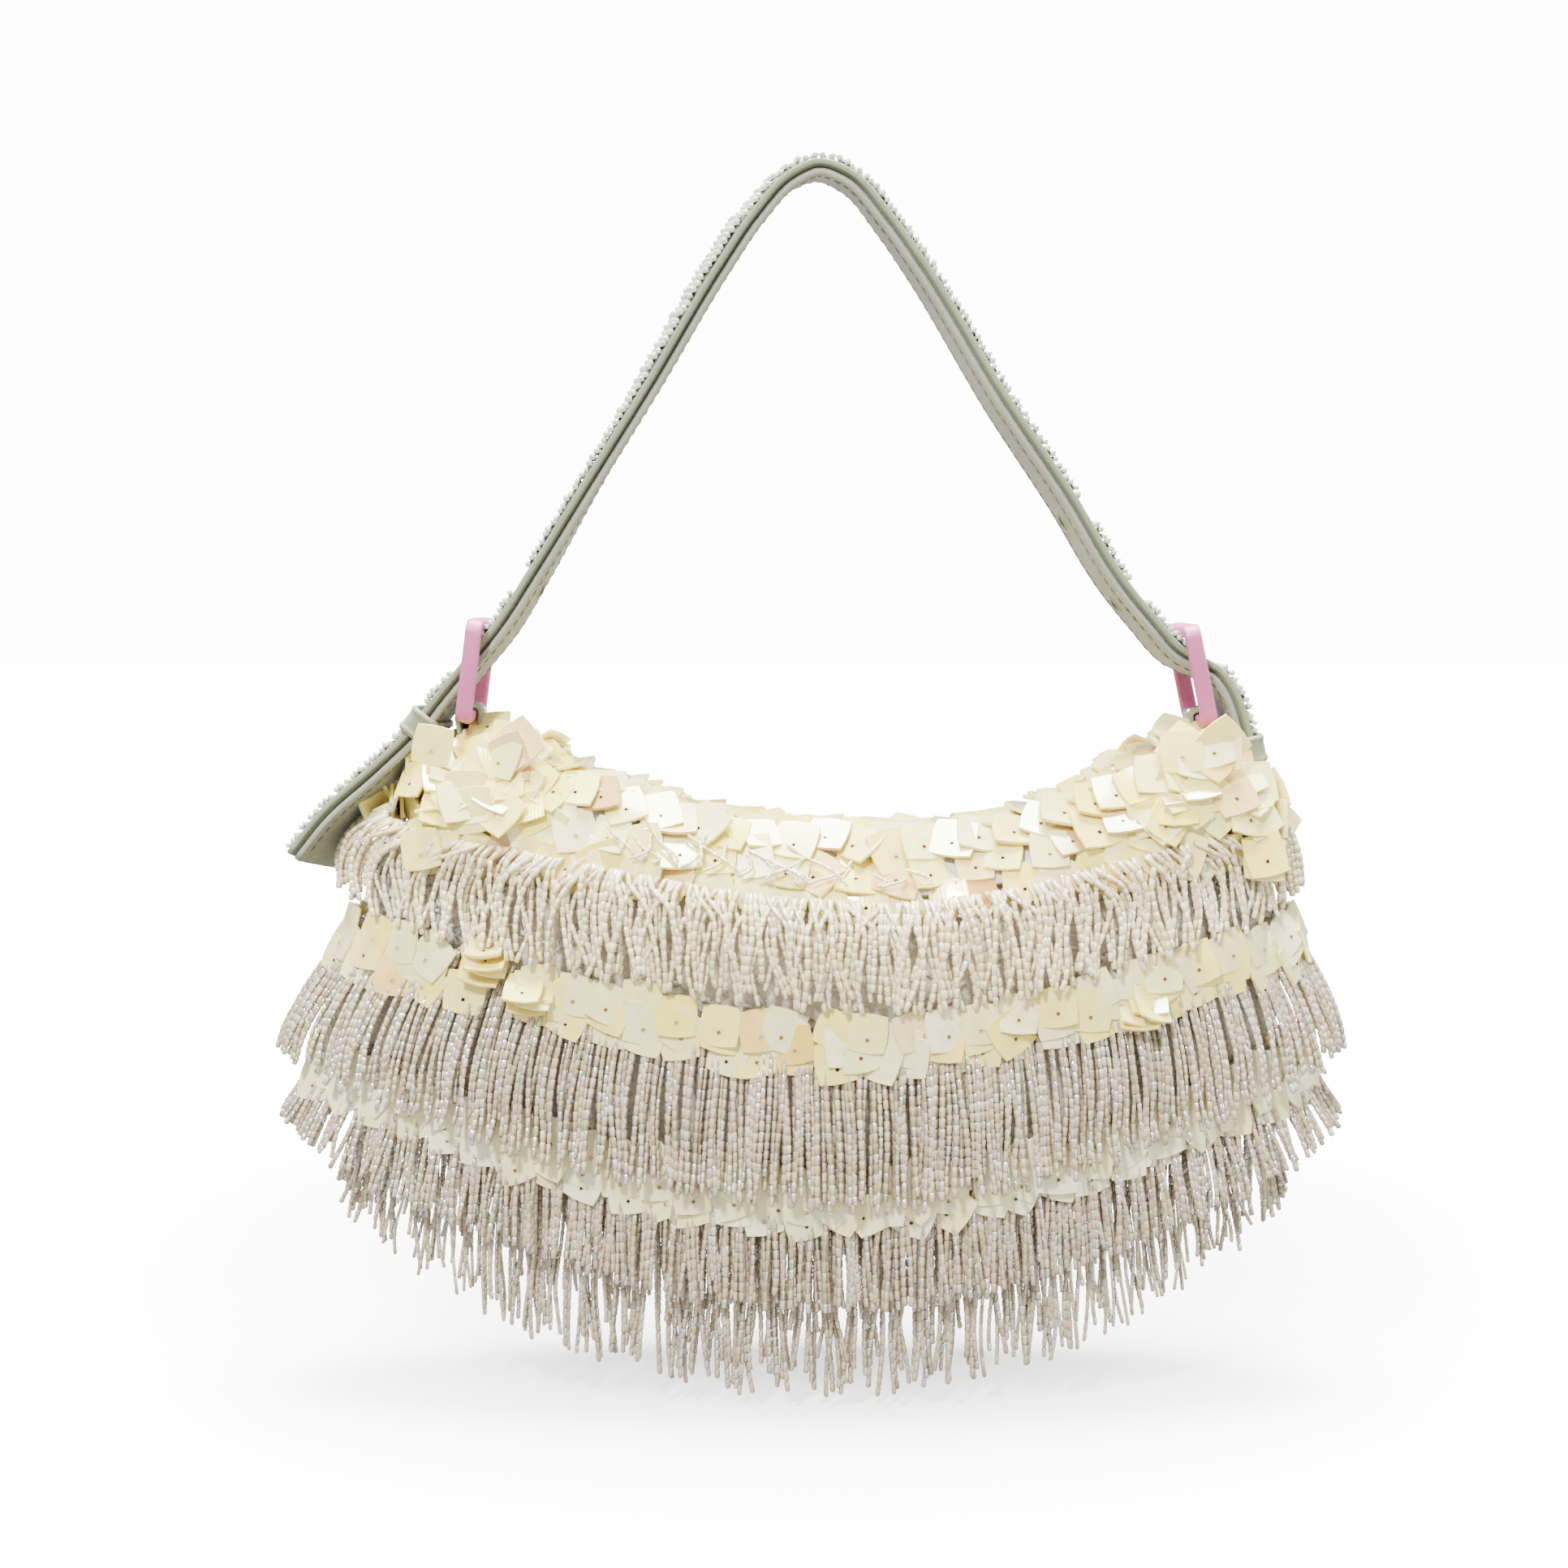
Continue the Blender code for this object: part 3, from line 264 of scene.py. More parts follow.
def strap_line():
    """Rows of the seam between the strap's layers, from the left tail over the top to the right stub:
    the distance along, x, z and roll; and the distances where it crosses the two frames."""
    fall = CROSSING_DROP + STRAP_FACE
    ends = [BUCKLE_MIDDLE_X + side * BUCKLE_SPAN / 2 for side in (-1, 1)]
    tail, leg, right, stub = (
        np.array(rows, float) for rows in (LEFT_TAIL[::-1], LEFT_LEG[::-1], RIGHT_LEG, RIGHT_STUB))
    for rows, end, side, length in ((tail, ends[0], -1, TAIL_LENGTH), (stub, ends[1], 1, STUB_LENGTH)):
        rows[:, 0] = end + side * rows[:, 0] * length
        rows[:, 1] = -CROSSING_DROP - rows[:, 1] * length
    for rows, end in ((leg, ends[0]), (right, ends[1])):
        rows[:, 0] = end * rows[:, 0]
        rows[:, 1] = STRAP_FACE - rows[:, 1] * fall
    first, last = ([[end, -CROSSING_DROP, roll]] for end, roll in zip(ends, CROSSING_ROLLS))
    rows = np.concatenate([tail, first, leg, [[0, STRAP_FACE, TOP_ROLL]], right, last, stub])
    along = np.append(0, np.cumsum(np.linalg.norm(np.diff(rows[:, :2], axis=0), axis=1)))
    return along, rows, (along[len(tail)], along[-1 - len(stub)])


ALONG, STRAP_ROWS, CROSSINGS = strap_line()


def strap_frame(along):
    """Points on the seam with the directions along it, out of it and across it."""
    along = np.asarray(along, float)
    x, z, roll = (smooth(along, ALONG, STRAP_ROWS[:, i]) for i in range(3))
    ahead, behind = (np.clip(along + step, 0, ALONG[-1]) for step in (1e-4, -1e-4))
    dx, dz = (smooth(ahead, ALONG, column) - smooth(behind, ALONG, column) for column in STRAP_ROWS.T[:2])
    way = unit(stacked(dx, 0, dz))
    flat = stacked(-way[..., 2], 0, way[..., 0])
    turn = np.radians(roll)[..., None]
    return (stacked(x, 0, z), way, flat * np.cos(turn) + DEPTH * np.sin(turn),
            DEPTH * np.cos(turn) - flat * np.sin(turn))


# Places to meshes

def placed(name, data):
    """A new object in the scene."""
    made = bpy.data.objects.new(name, data)
    bpy.context.scene.collection.objects.link(made)
    return made


def skin(name, points, faces, finish, tint=None):
    """A smooth mesh from one array of points and one or more arrays of faces. finish is its material and
    slot name, of which the slot name is not used, and tint a colour for each point."""
    material, slot = finish
    mesh = bpy.data.meshes.new(name)
    points = np.asarray(points, np.float32).reshape(-1, 3)
    mesh.vertices.add(len(points))
    mesh.vertices.foreach_set("co", points.ravel())
    corners = np.concatenate([f.reshape(-1) for f in faces]).astype(np.int32)
    sizes = np.concatenate([np.full(f.size // f.shape[-1], f.shape[-1]) for f in faces])
    mesh.loops.add(len(corners))
    mesh.loops.foreach_set("vertex_index", corners)
    mesh.polygons.add(len(sizes))
    mesh.polygons.foreach_set("loop_start", (np.cumsum(sizes) - sizes).astype(np.int32))
    mesh.polygons.foreach_set("use_smooth", np.ones(len(sizes), bool))
    mesh.update(calc_edges=True)
    if tint is not None:
        layer = mesh.color_attributes.new("tint", "FLOAT_COLOR", "POINT")
        tint = np.concatenate([tint.reshape(-1, 3), np.ones((len(points), 1))], axis=1)
        layer.data.foreach_set("color", tint.astype(np.float32).ravel())
    mesh.materials.append(material)
    piece = placed(name, mesh)
    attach(piece, "root")
    return piece


def grid_faces(rows, columns, wrap_rows, wrap_columns):
    """Quads of a grid of points that may close on itself either way."""
    index = np.arange(rows * columns).reshape(rows, columns)
    right, below = np.roll(index, -1, 1), np.roll(index, -1, 0)
    quads = stacked(index, right, np.roll(below, -1, 1), below)
    return quads[:rows if wrap_rows else rows - 1, :columns if wrap_columns else columns - 1]


def many(faces, count, size):
    """The faces of count copies of a shape, each with size points."""
    return faces[None] + np.arange(count)[:, None, None, None] * size


def tubes(name, paths, radii, facing, sides, finish, tint):
    """Many closed tubes: a ring of points round each point of each path, radius * (cos a, sin a) across it,
    with a pole at both ends. facing is a direction that no path runs along."""
    count, steps = paths.shape[:2]
    way = unit(np.gradient(paths, axis=1))
    side = unit(np.cross(way, np.broadcast_to(facing, paths.shape)))
    other = np.cross(side, way)
    angle = turns(sides)
    rings = side[:, :, None] * np.cos(angle)[:, None] + other[:, :, None] * np.sin(angle)[:, None]
    rings = paths[:, :, None] + rings * np.asarray(radii)[..., None, None]
    poles = np.stack([paths[:, 0], paths[:, -1]], axis=1)
    each = many(grid_faces(steps, sides, False, True), count, steps * sides)
    first = np.arange(count)[:, None] * steps * sides + np.arange(sides)
    last = first + (steps - 1) * sides
    pole = count * steps * sides + 2 * np.arange(count)[:, None]
    caps = np.concatenate([
        stacked(pole, np.roll(first, -1, 1), first),
        stacked(pole + 1, last, np.roll(last, -1, 1)),
    ])
    points = np.concatenate([rings.reshape(-1, 3), poles.reshape(-1, 3)])
    colour = np.repeat(tint, sides, axis=1).reshape(-1, 3)
    ends = np.stack([tint[:, 0], tint[:, -1]], axis=1).reshape(-1, 3)
    return skin(name, points, [each, caps], finish, np.concatenate([colour, ends]))


def sweep(name, path, across, out, profile, finish, closed=False):
    """A profile of (across, out) points carried along a path, with flat end caps where the path is open."""
    profile = np.broadcast_to(profile, (len(path),) + profile.shape[-2:])
    points = path[:, None] + across[:, None] * profile[..., 0, None] + out[:, None] * profile[..., 1, None]
    steps, corners = points.shape[:2]
    faces = [grid_faces(steps, corners, closed, True)]
    if not closed:
        index = np.arange(corners)
        faces += [index[None, ::-1], index[None] + (steps - 1) * corners]
    piece = skin(name, points, faces, finish)
    outward(piece.data)
    return piece


def outward(mesh):
    """Merges doubled points and turns all faces out."""
    work = bmesh.new()
    work.from_mesh(mesh)
    bmesh.ops.remove_doubles(work, verts=work.verts, dist=1e-6)
    bmesh.ops.recalc_face_normals(work, faces=work.faces)
    work.to_mesh(mesh)
    work.free()


def pillow(width, height, count):
    """A flat bar's outline with rounded edges: |cos a|^0.35 across and |sin a|^0.35 up, with their signs."""
    a = turns(count, 0.5)
    return stacked(signed(np.cos(a), 0.35) * width / 2, signed(np.sin(a), 0.35) * height / 2)


# Materials

def start(name, roughness, **sockets):
    """A material with its tree, its shader and the constants on the shader's own sockets."""
    material = bpy.data.materials.new(name)
    material.use_nodes = True
    tree = material.node_tree
    shader = tree.nodes["Principled BSDF"]
    shader.inputs["Roughness"].default_value = roughness
    for socket, value in sockets.items():
        shader.inputs[socket.replace("_", " ")].default_value = value
    return material, tree, shader


def feed(shader, **sources):
    """Links outputs to the shader's sockets."""
    for socket, source in sources.items():
        shader.id_data.links.new(source, shader.inputs[socket.replace("_", " ")])


def node(tree, kind, links=(), values=(), **options):
    """A node with its options, values by socket name, and links by socket name."""
    made = tree.nodes.new("ShaderNode" + kind)
    for key, value in options.items():
        setattr(made, key, value)
    for socket, value in dict(values).items():
        made.inputs[socket].default_value = value
    for socket, source in dict(links).items():
        tree.links.new(source, made.inputs[socket])
    return made


def ramp(tree, factor, stops):
    made = node(tree, "ValToRGB", {"Fac": factor})
    while len(made.color_ramp.elements) < len(stops):
        made.color_ramp.elements.new(0.5)
    for element, (place, colour) in zip(made.color_ramp.elements, stops):
        element.position, element.color = place, (*colour, 1)
    return made.outputs["Color"]


def mix(tree, factor, a, b, blend="MIX"):
    made = node(tree, "Mix", data_type="RGBA", blend_type=blend)
    for socket, value in ((0, factor), (6, a), (7, b)):
        if isinstance(value, (float, int)):
            made.inputs[socket].default_value = value
        elif isinstance(value, tuple):
            made.inputs[socket].default_value = (*value, 1)
        else:
            tree.links.new(value, made.inputs[socket])
    return made.outputs[2]


def place_of(tree):
    return node(tree, "TexCoord").outputs["Object"]


def noise(tree, scale, detail=2.0, rough=0.5):
    made = node(tree, "TexNoise", {"Vector": place_of(tree)},
                {"Scale": scale, "Detail": detail, "Roughness": rough})
    return made.outputs["Fac"]


def bump(tree, shader, height, strength, distance):
    made = node(tree, "Bump", {"Height": height}, {"Strength": strength, "Distance": distance})
    feed(shader, Normal=made.outputs["Normal"])


def tint_of(tree):
    """The three numbers that each point carries."""
    read = node(tree, "Attribute", attribute_name="tint")
    parts = node(tree, "SeparateColor", {"Color": read.outputs["Color"]})
    return [parts.outputs[i] for i in range(3)]


def make_satin(name, colour, shade):
    """Satin: a fine weave of floats with a soft sheen, and slow random patches of the darker colour, painted
    shade that stands in for creases.
    """
    material, tree, shader = start(
        name, 0.42, Sheen_Weight=0.25, Sheen_Roughness=0.4, Specular_IOR_Level=0.35)
    # noise mixes in the shade colour: painted shade in random patches
    feed(shader, Base_Color=mix(tree, noise(tree, 55.0, 3.0), shade, colour))
    bump(tree, shader, noise(tree, 2600.0, 2.0, 0.7), 0.35, 0.0002)
    return material


def make_beads(name, dark, body, tints, shine=0.25):
    """Clear lustre beads, each in one of a few tints, with painted shade darkening the necks between them.
    """
    material, tree, shader = start(
        name, 0.13, Coat_Weight=0.9, Coat_Roughness=0.05, Specular_IOR_Level=0.8, Thin_Film_IOR=1.5)
    bead, belly, strand = tint_of(tree)
    colour = ramp(tree, bead, tints)
    base = mix(tree, strand, mix(tree, 0.35, colour, body), colour)
    rough = node(tree, "MapRange", {"Value": bead}, {"To Min": 0.08, "To Max": 0.30})
    silvered = (shine, shine, shine)
    glint = ramp(tree, bead, [(0.62, (0, 0, 0)), (0.68, silvered), (0.86, silvered), (0.90, (0, 0, 0))])
    film = node(tree, "MapRange", {"Value": strand}, {"To Min": 240.0, "To Max": 620.0})
    # belly is 0 at each neck, where the base is mixed to dark: painted shade between the beads
    feed(shader, Base_Color=mix(tree, belly, dark, base), Roughness=rough.outputs["Result"], Metallic=glint,
         Thin_Film_Thickness=film.outputs["Result"])
    return material


def make_nacre():
    """Mother of pearl: cream to ivory with peach and tan plates, growth lines, and a tan rim at the hole."""
    material, tree, shader = start(
        "mother_of_pearl", 0.22, Coat_Weight=1.0, Coat_Roughness=0.10, Specular_IOR_Level=0.8,
        Thin_Film_Thickness=380.0, Thin_Film_IOR=1.55)
    plate, hole, pale = tint_of(tree)
    cream = ramp(tree, plate, [
        (0.00, (0.45, 0.20, 0.05)), (0.05, (0.84, 0.50, 0.12)), (0.14, (1.0, 0.76, 0.12)),
        (0.50, (1.0, 0.86, 0.13)), (0.80, (1.0, 0.91, 0.33)), (1.00, (1.0, 0.87, 0.46)),
    ])
    ivory = mix(tree, pale, cream, (0.97, 0.93, 0.66))
    lines = node(tree, "TexWave", {"Vector": place_of(tree)},
                 {"Scale": 260.0, "Distortion": 9.0, "Detail": 2.0, "Detail Scale": 0.6})
    soft = ramp(tree, noise(tree, 210.0, 4.0, 0.6), [(0.30, (0.86, 0.80, 0.62)), (0.62, (1, 1, 1))])
    base = mix(tree, 0.5, ivory, soft, "MULTIPLY")
    feed(shader, Base_Color=mix(tree, hole, base, (0.30, 0.17, 0.07)))
    bump(tree, shader, lines.outputs["Fac"], 0.05, 0.0003)
    return material


def make_enamel():
    """Smooth enamel with faint ripples."""
    material, tree, shader = start("pink_enamel", 0.48, Coat_Weight=0.2, Coat_Roughness=0.3)
    feed(shader, Base_Color=mix(tree, noise(tree, 90.0), (0.42, 0.09, 0.22), (0.49, 0.12, 0.27)))
    bump(tree, shader, noise(tree, 420.0), 0.05, 0.0003)
    return material


def make_silver():
    material, tree, shader = start("bright_silver", 0.2, Metallic=1.0)
    tones = [(0.3, (0.72, 0.72, 0.72)), (0.7, (0.85, 0.85, 0.86))]
    feed(shader, Base_Color=ramp(tree, noise(tree, 300.0), tones))
    return material


def make_ground():
    """Satin ground with the dimples of the stitches that hold the beads, each painted darker towards its
    bottom as shade.
    """
    material, tree, shader = start("ground_satin", 0.5, Sheen_Weight=0.2)
    dimples = node(tree, "TexVoronoi", {"Vector": place_of(tree)}, {"Scale": 620.0})
    far = dimples.outputs["Distance"]
    # darkest at the bottom of each dimple: painted shade
    feed(shader, Base_Color=ramp(tree, far, [(0.0, (0.58, 0.52, 0.42)), (0.7, (0.80, 0.74, 0.62))]))
    bump(tree, shader, far, 0.6, 0.0005)
    return material


# Each finish is a material and a slot name
SATIN = make_satin("sage_satin", (0.25, 0.275, 0.17), (0.175, 0.195, 0.12)), "satin"
LINING = make_satin("sage_lining", (0.26, 0.27, 0.195), (0.185, 0.195, 0.135)), "satin"
# near black satin for the plugs in the strap's holes: painted shade
PIT = make_satin("hole_shade", (0.05, 0.05, 0.04), (0.03, 0.03, 0.02)), "satin"
BEAD_TINTS = [
    (0.00, (0.29, 0.23, 0.13)), (0.22, (0.47, 0.40, 0.24)), (0.52, (0.62, 0.51, 0.33)),
    (0.64, (0.67, 0.45, 0.39)), (0.70, (1.0, 0.95, 0.84)), (0.80, (1.0, 0.97, 0.90)),
    (0.86, (0.56, 0.59, 0.44)), (1.00, (0.80, 0.71, 0.52)),
]
# The first colour of each bead finish is the painted shade at the necks between its beads
BEADS = make_beads(
    "lustre_beads", (0.34, 0.28, 0.18), (0.54, 0.44, 0.29), BEAD_TINTS, shine=0.75), "glass_beads"
CREAM_TINTS = [
    (0.00, (0.70, 0.59, 0.32)), (0.30, (0.85, 0.73, 0.41)), (0.60, (0.93, 0.81, 0.50)),
    (0.72, (0.95, 0.77, 0.56)), (0.82, (0.95, 0.88, 0.67)), (1.00, (0.95, 0.87, 0.62)),
]
CREAM_BEADS = make_beads(
    "cream_lustre_beads", (0.57, 0.47, 0.27), (0.89, 0.77, 0.46), CREAM_TINTS), "glass_beads"
SEED_TINTS = [(0.0, (0.65, 0.67, 0.56)), (0.5, (0.78, 0.80, 0.72)), (1.0, (0.88, 0.88, 0.85))]
SEEDS = make_beads("pearl_seeds", (0.59, 0.61, 0.50), (0.77, 0.79, 0.70), SEED_TINTS), "glass_beads"
NACRE = make_nacre(), "shell"
ENAMEL = make_enamel(), "enamel"
SILVER = make_silver(), "silver"
GROUND = make_ground(), "beaded_cloth"
THREAD = make_satin("thread", (0.16, 0.18, 0.11), (0.12, 0.13, 0.08)), "satin"


# Body

def make_pouch():
    """The pouch as one closed skin: down the inside and up the outside over the rim, each ring closed and
    the foot drawn to a line, so the grid is (angle, profile)."""
    angle = turns(112)[:, None]
    levels = np.append(np.linspace(0, 1, 30), [1.0, 1.0])
    shut = np.ones((32, 3))
    shut[-2:, 1] = 0.5, 0.0
    outer = ring(angle, levels) * shut
    inner = ring(angle, np.minimum(levels, 0.98), -POUCH_WALL) * shut
    points = np.concatenate([inner[:, ::-1], outer], axis=1)
    piece = skin("pouch_cloth", points, [grid_faces(112, 64, True, False)], GROUND)
    outward(piece.data)
    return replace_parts(piece, "pouch")


def make_flap():
    """The flap as one closed skin: over its outside and back along its inside, from end to end."""
    share = np.sin(BUNCHING * np.linspace(-1, 1, 81)) / math.sin(BUNCHING)
    way = np.linspace(0, 1, 41)
    outer = flap_point(share[:, None], way[None], FLAP_LIFT + FLAP_THICKNESS)[0]
    inner = flap_point(share[:, None], way[None, ::-1], FLAP_LIFT)[0]
    points = np.concatenate([outer, inner], axis=1)
    corners = points.shape[1]
    strip = np.arange(40)
    cap = stacked(strip, strip + 1, corners - 2 - strip, corners - 1 - strip)
    faces = [grid_faces(81, corners, False, True), cap, cap + 80 * corners]
    piece = skin("flap_cloth", points, faces, GROUND)
    outward(piece.data)
    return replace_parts(piece, "flap")


# Fringe

def strand_rings(beads):
    """Places along a strand, with its radius and a share that is 0 at each neck, where painted shade darkens
    it: three rings for each bead.
    """
    at = ((np.arange(beads)[:, None] + np.array([0.0, 0.13, 0.87])).ravel()) / beads
    shape = np.append(np.tile([0.66, 1.0, 0.98], beads), 0.5)
    belly = np.append(np.tile([0.0, 1.0, 1.0], beads), 0.2)
    return np.append(at, 1.0), shape, belly


def bead_tint(rng, count, beads, belly, shared=0.0):
    """Three numbers for each ring of each strand: one at random for its bead, of which a share is the
    strand's, its share away from the painted shade at the necks, and one at random for the strand."""
    hue = np.repeat(rng.random((count, beads + 1)), 3, axis=1)[:, :len(belly)]
    if shared:
        hue = hue * (1 - shared) + rng.random((count, 1)) * shared
    return stacked(hue, belly, rng.random((count, 1)))


def clumped(rng, along, gap, pull):
    """How far each strand's tip leans towards the nearest of a set of clumps, gap apart on average."""
    length = along[-1] + (along[1] - along[0])
    centres = np.cumsum(rng.uniform(0.4, 1.6, int(length / gap) + 2)) * gap
    away = centres[None] - along[:, None]
    nearest = away[np.arange(len(along)), np.argmin(np.abs(away), axis=1)]
    return nearest * pull * rng.uniform(0.5, 1.0, len(along))


def make_fringe(name, seed, pitches, radius, stray, layer, gap, pull, ragged, arch=0.0, bow=0.0, reach=1.02,
                finish=BEADS):
    """A row of bead strands. Each starts at its place on the row's ring, slides sideways by an arch in its
    first third, then strays by a slow wave and leans towards its clump with the way down to the power 1.5.
    It lies at its own depth in the skirt, and bows out by bow * sin(pi sqrt(way)) under its head."""
    row = FRINGES[name]
    rng = np.random.default_rng(seed)
    beads = max(6, round(FRINGE_LENGTH * row["length"] * reach / BEAD_LENGTH))
    at, shape, belly = strand_rings(beads)
    early = eased(np.clip(at / 0.3, 0, 1))
    made = []
    halves = (("front", pitches[0], math.pi, 2 * math.pi, 4), ("back", pitches[1], 0, math.pi, 3))
    for side, pitch, first, last, sides in halves:
        angles = even_angles(row["front"], FRINGE_THICKNESS, pitch, first, last)
        count = len(angles)
        angles = angles + rng.normal(0, 0.0025, count)
        reaches = rng.uniform(reach - 2 * ragged, reach, count) - 2 * ragged * (rng.random(count) < 0.12)
        down = at * reaches[:, None]
        phase, speed = rng.uniform(0, 2 * math.pi, (count, 1)), rng.uniform(2.0, 7.0, (count, 1))
        wave = np.sin(phase + at * speed) - np.sin(phase)
        lean = clumped(rng, np.arange(count) * pitch, gap, pull) + rng.normal(0, stray, count)
        aside = rng.normal(0, 1, (count, 1)) * arch * (early - 1) + lean[:, None] * at**1.5
        aside = aside + stray * 0.6 * wave * np.sqrt(at)
        depth = layer * rng.uniform(0.1, 1.0, (count, 1)) + 0.0006 * (np.sin(phase * 2 + at * 5.0) + 1) * at
        depth = depth + bow * np.sin(math.pi * np.sqrt(at)) * rng.uniform(0.4, 1.0, (count, 1))
        place = fringe_point(row, angles[:, None], down, depth)
        head = np.zeros(count)
        after, before = (fringe_point(row, angles + step, head, 0.0) for step in (0.01, -0.01))
        tangent = unit(after - before)
        place = place + tangent[:, None] * aside[..., None]
        facing = stacked(np.cos(angles), np.sin(angles) * 1.5, 0)
        radii = radius * shape * rng.uniform(0.85, 1.12, (count, 1))
        tint = bead_tint(rng, count, beads, belly, 0.2)
        piece = tubes(f"strands_{name}_{side}", place, radii, facing[:, None], sides, finish, tint)
        made.append(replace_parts(piece, f"fringe_{name}"))
    return made


def make_strays():
    """Short strands that lie loose over the front plates, from the flap fringe's head up the flap."""
    rng = np.random.default_rng(17)
    count, t = 22, np.linspace(0, 1, 8)
    share = rng.uniform(-0.45, 0.25, (count, 1)) + rng.normal(0, 0.07, (count, 1)) * t + 0.02 * np.sin(t * 4)
    way = 0.99 - rng.uniform(0.06, 0.24, (count, 1)) * t
    place, _, out = flap_point(share, way, 0.0075 + 0.001 * rng.random((count, 1)) * np.sin(t * 5))
    beads = 6
    at, shape, belly = strand_rings(beads)
    paths = np.stack([np.interp(at, t, place[k, :, i]) for k in range(count) for i in range(3)])
    paths = paths.reshape(count, 3, len(at)).transpose(0, 2, 1)
    tint = bead_tint(rng, count, beads, belly)
    radii = np.broadcast_to(0.0005 * shape, paths.shape[:2])
    tubes("stray_strands", paths, radii, out[:, :1], 5, CREAM_BEADS, tint)


def make_bugles():
    """Short silver tubes sewn at random on the pouch and on the flap's edge, where the fringe parts."""
    rng = np.random.default_rng(31)
    count = 1000
    angle = rng.uniform(0, 2 * math.pi, count)
    level = rng.uniform(0.115, 0.40, count)
    middle = ring(angle, level, 0.0009)
    beside = unit(ring(angle + 0.01, level, 0.0009) - middle)
    below = unit(ring(angle, level + 0.01, 0.0009) - middle)
    turn = rng.uniform(0, math.pi, (count, 1))
    lie = (beside * np.cos(turn) + below * np.sin(turn)) * 0.0016
    normal = np.cross(beside, below)
    paths = np.stack([middle - lie, middle + lie], axis=1)
    tint = np.ones((count, 2, 3))
    tint[..., 0] = rng.uniform(0.5, 1.0, (count, 1))
    tubes("bugle_beads", paths, np.full((count, 2), 0.0006), normal[:, None], 5, SEEDS, tint)


# Shell plates

def plate_shape(angles=12):
    """A rounded square tile with a hole, as a grid of (angle, profile) that closes both ways, from the hole
    over the top to the edge and back underneath: x, y, share of the thickness and nearness to the hole."""
    a = turns(angles, 0.5)
    c, s = np.cos(a), np.sin(a)
    square = (np.abs(c) ** 8 + np.abs(s) ** 8) ** (-1 / 8)
    edge = stacked(c * square, s * square) / 2
    hole = stacked(c, s) * 0.038 + np.array([0, 0.16])
    near = hole + unit(edge - hole) * 0.03
    rows = [(hole, 0.5, 1.0), (near, 0.5, 0.1), (hole * 0.5 + edge * 0.5, 0.5, 0.0), (edge * 0.97, 0.5, 0.0),
            (edge, 0.1, 0.0), (edge * 0.97, -0.5, 0.0), (hole, -0.5, 1.0)]
    return np.stack([np.insert(xy, [2, 2], [up, tan], axis=1) for xy, up, tan in rows], axis=1)


def make_plates(name, node_name, centres, across, out, size, spin, tip, lean, cup, plate, pale):
    """Plates at their centres: the tile is scaled, cupped by cup * (x^2 + 0.6 y^2) / 2, spun in its plane,
    tipped about its width and leant about its height."""
    tile = plate_shape()
    x = tile[..., 0] * size[:, None, None]
    y = tile[..., 1] * (size * 1.02)[:, None, None]
    h = tile[..., 2] * PLATE_THICKNESS - cup[:, None, None] * (x * x + 0.6 * y * y) / 2
    across, out = unit(across), unit(out)
    up = unit(np.cross(out, across))
    across = np.cross(up, out)

    def turned(a, b, angle):
        c, s = np.cos(angle)[:, None], np.sin(angle)[:, None]
        return a * c + b * s, b * c - a * s

    across, up = turned(across, up, spin)
    up, out = turned(up, out, tip)
    out, across = turned(out, across, lean)
    points = centres[:, None, None] + sum(
        way[:, None, None] * share[..., None] for way, share in ((across, x), (up, y), (out, h)))
    angles, profile = tile.shape[:2]
    faces = many(grid_faces(angles, profile, True, True), len(centres), angles * profile)
    tint = stacked(plate[:, None, None], tile[..., 3], pale[:, None, None])
    piece = skin(name, points, [faces[..., ::-1]], NACRE, tint)
    piece.data.set_sharp_from_angle(angle=math.radians(32))
    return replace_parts(piece, node_name)


def top_plates():
    """The field over the flap in shingled rows, each plate over the head of the next, the last row over the
    fringe's head."""
    rng = np.random.default_rng(3)
    ways, lifts, drops = TOP_ROWS.T
    count = 27
    share = np.sin(BUNCHING * ((np.arange(count) + 0.5) / count * 2 - 1)) / math.sin(BUNCHING)
    share = share[None] + (np.arange(len(ways)) % 2)[:, None] * 0.018
    share = np.clip(share + rng.normal(0, 0.009, share.shape), -0.985, 0.985)
    way = ways[:, None] + rng.normal(0, 0.014, share.shape)
    base = FLAP_LIFT + FLAP_THICKNESS + 0.0007
    place, down, out = flap_point(share, way, base + lifts[:, None] + rng.uniform(0, 0.0008, share.shape))
    place = place + down * np.maximum(way - 1, 0)[..., None] * 0.05
    place[..., 2] -= drops[:, None]
    place, down, out = (a.reshape(-1, 3) for a in (place, down, out))
    total = len(place)
    return make_plates(
        "plates_top", "shell_plates_top", place, np.cross(down, out), out,
        size=rng.uniform(0.0108, 0.0140, total), spin=rng.normal(0, 0.30, total),
        tip=rng.normal(-0.13, 0.10, total), lean=rng.normal(0, 0.13, total), cup=rng.uniform(-6, 16, total),
        plate=rng.random(total) ** 1.1, pale=rng.uniform(0, 0.35, total))


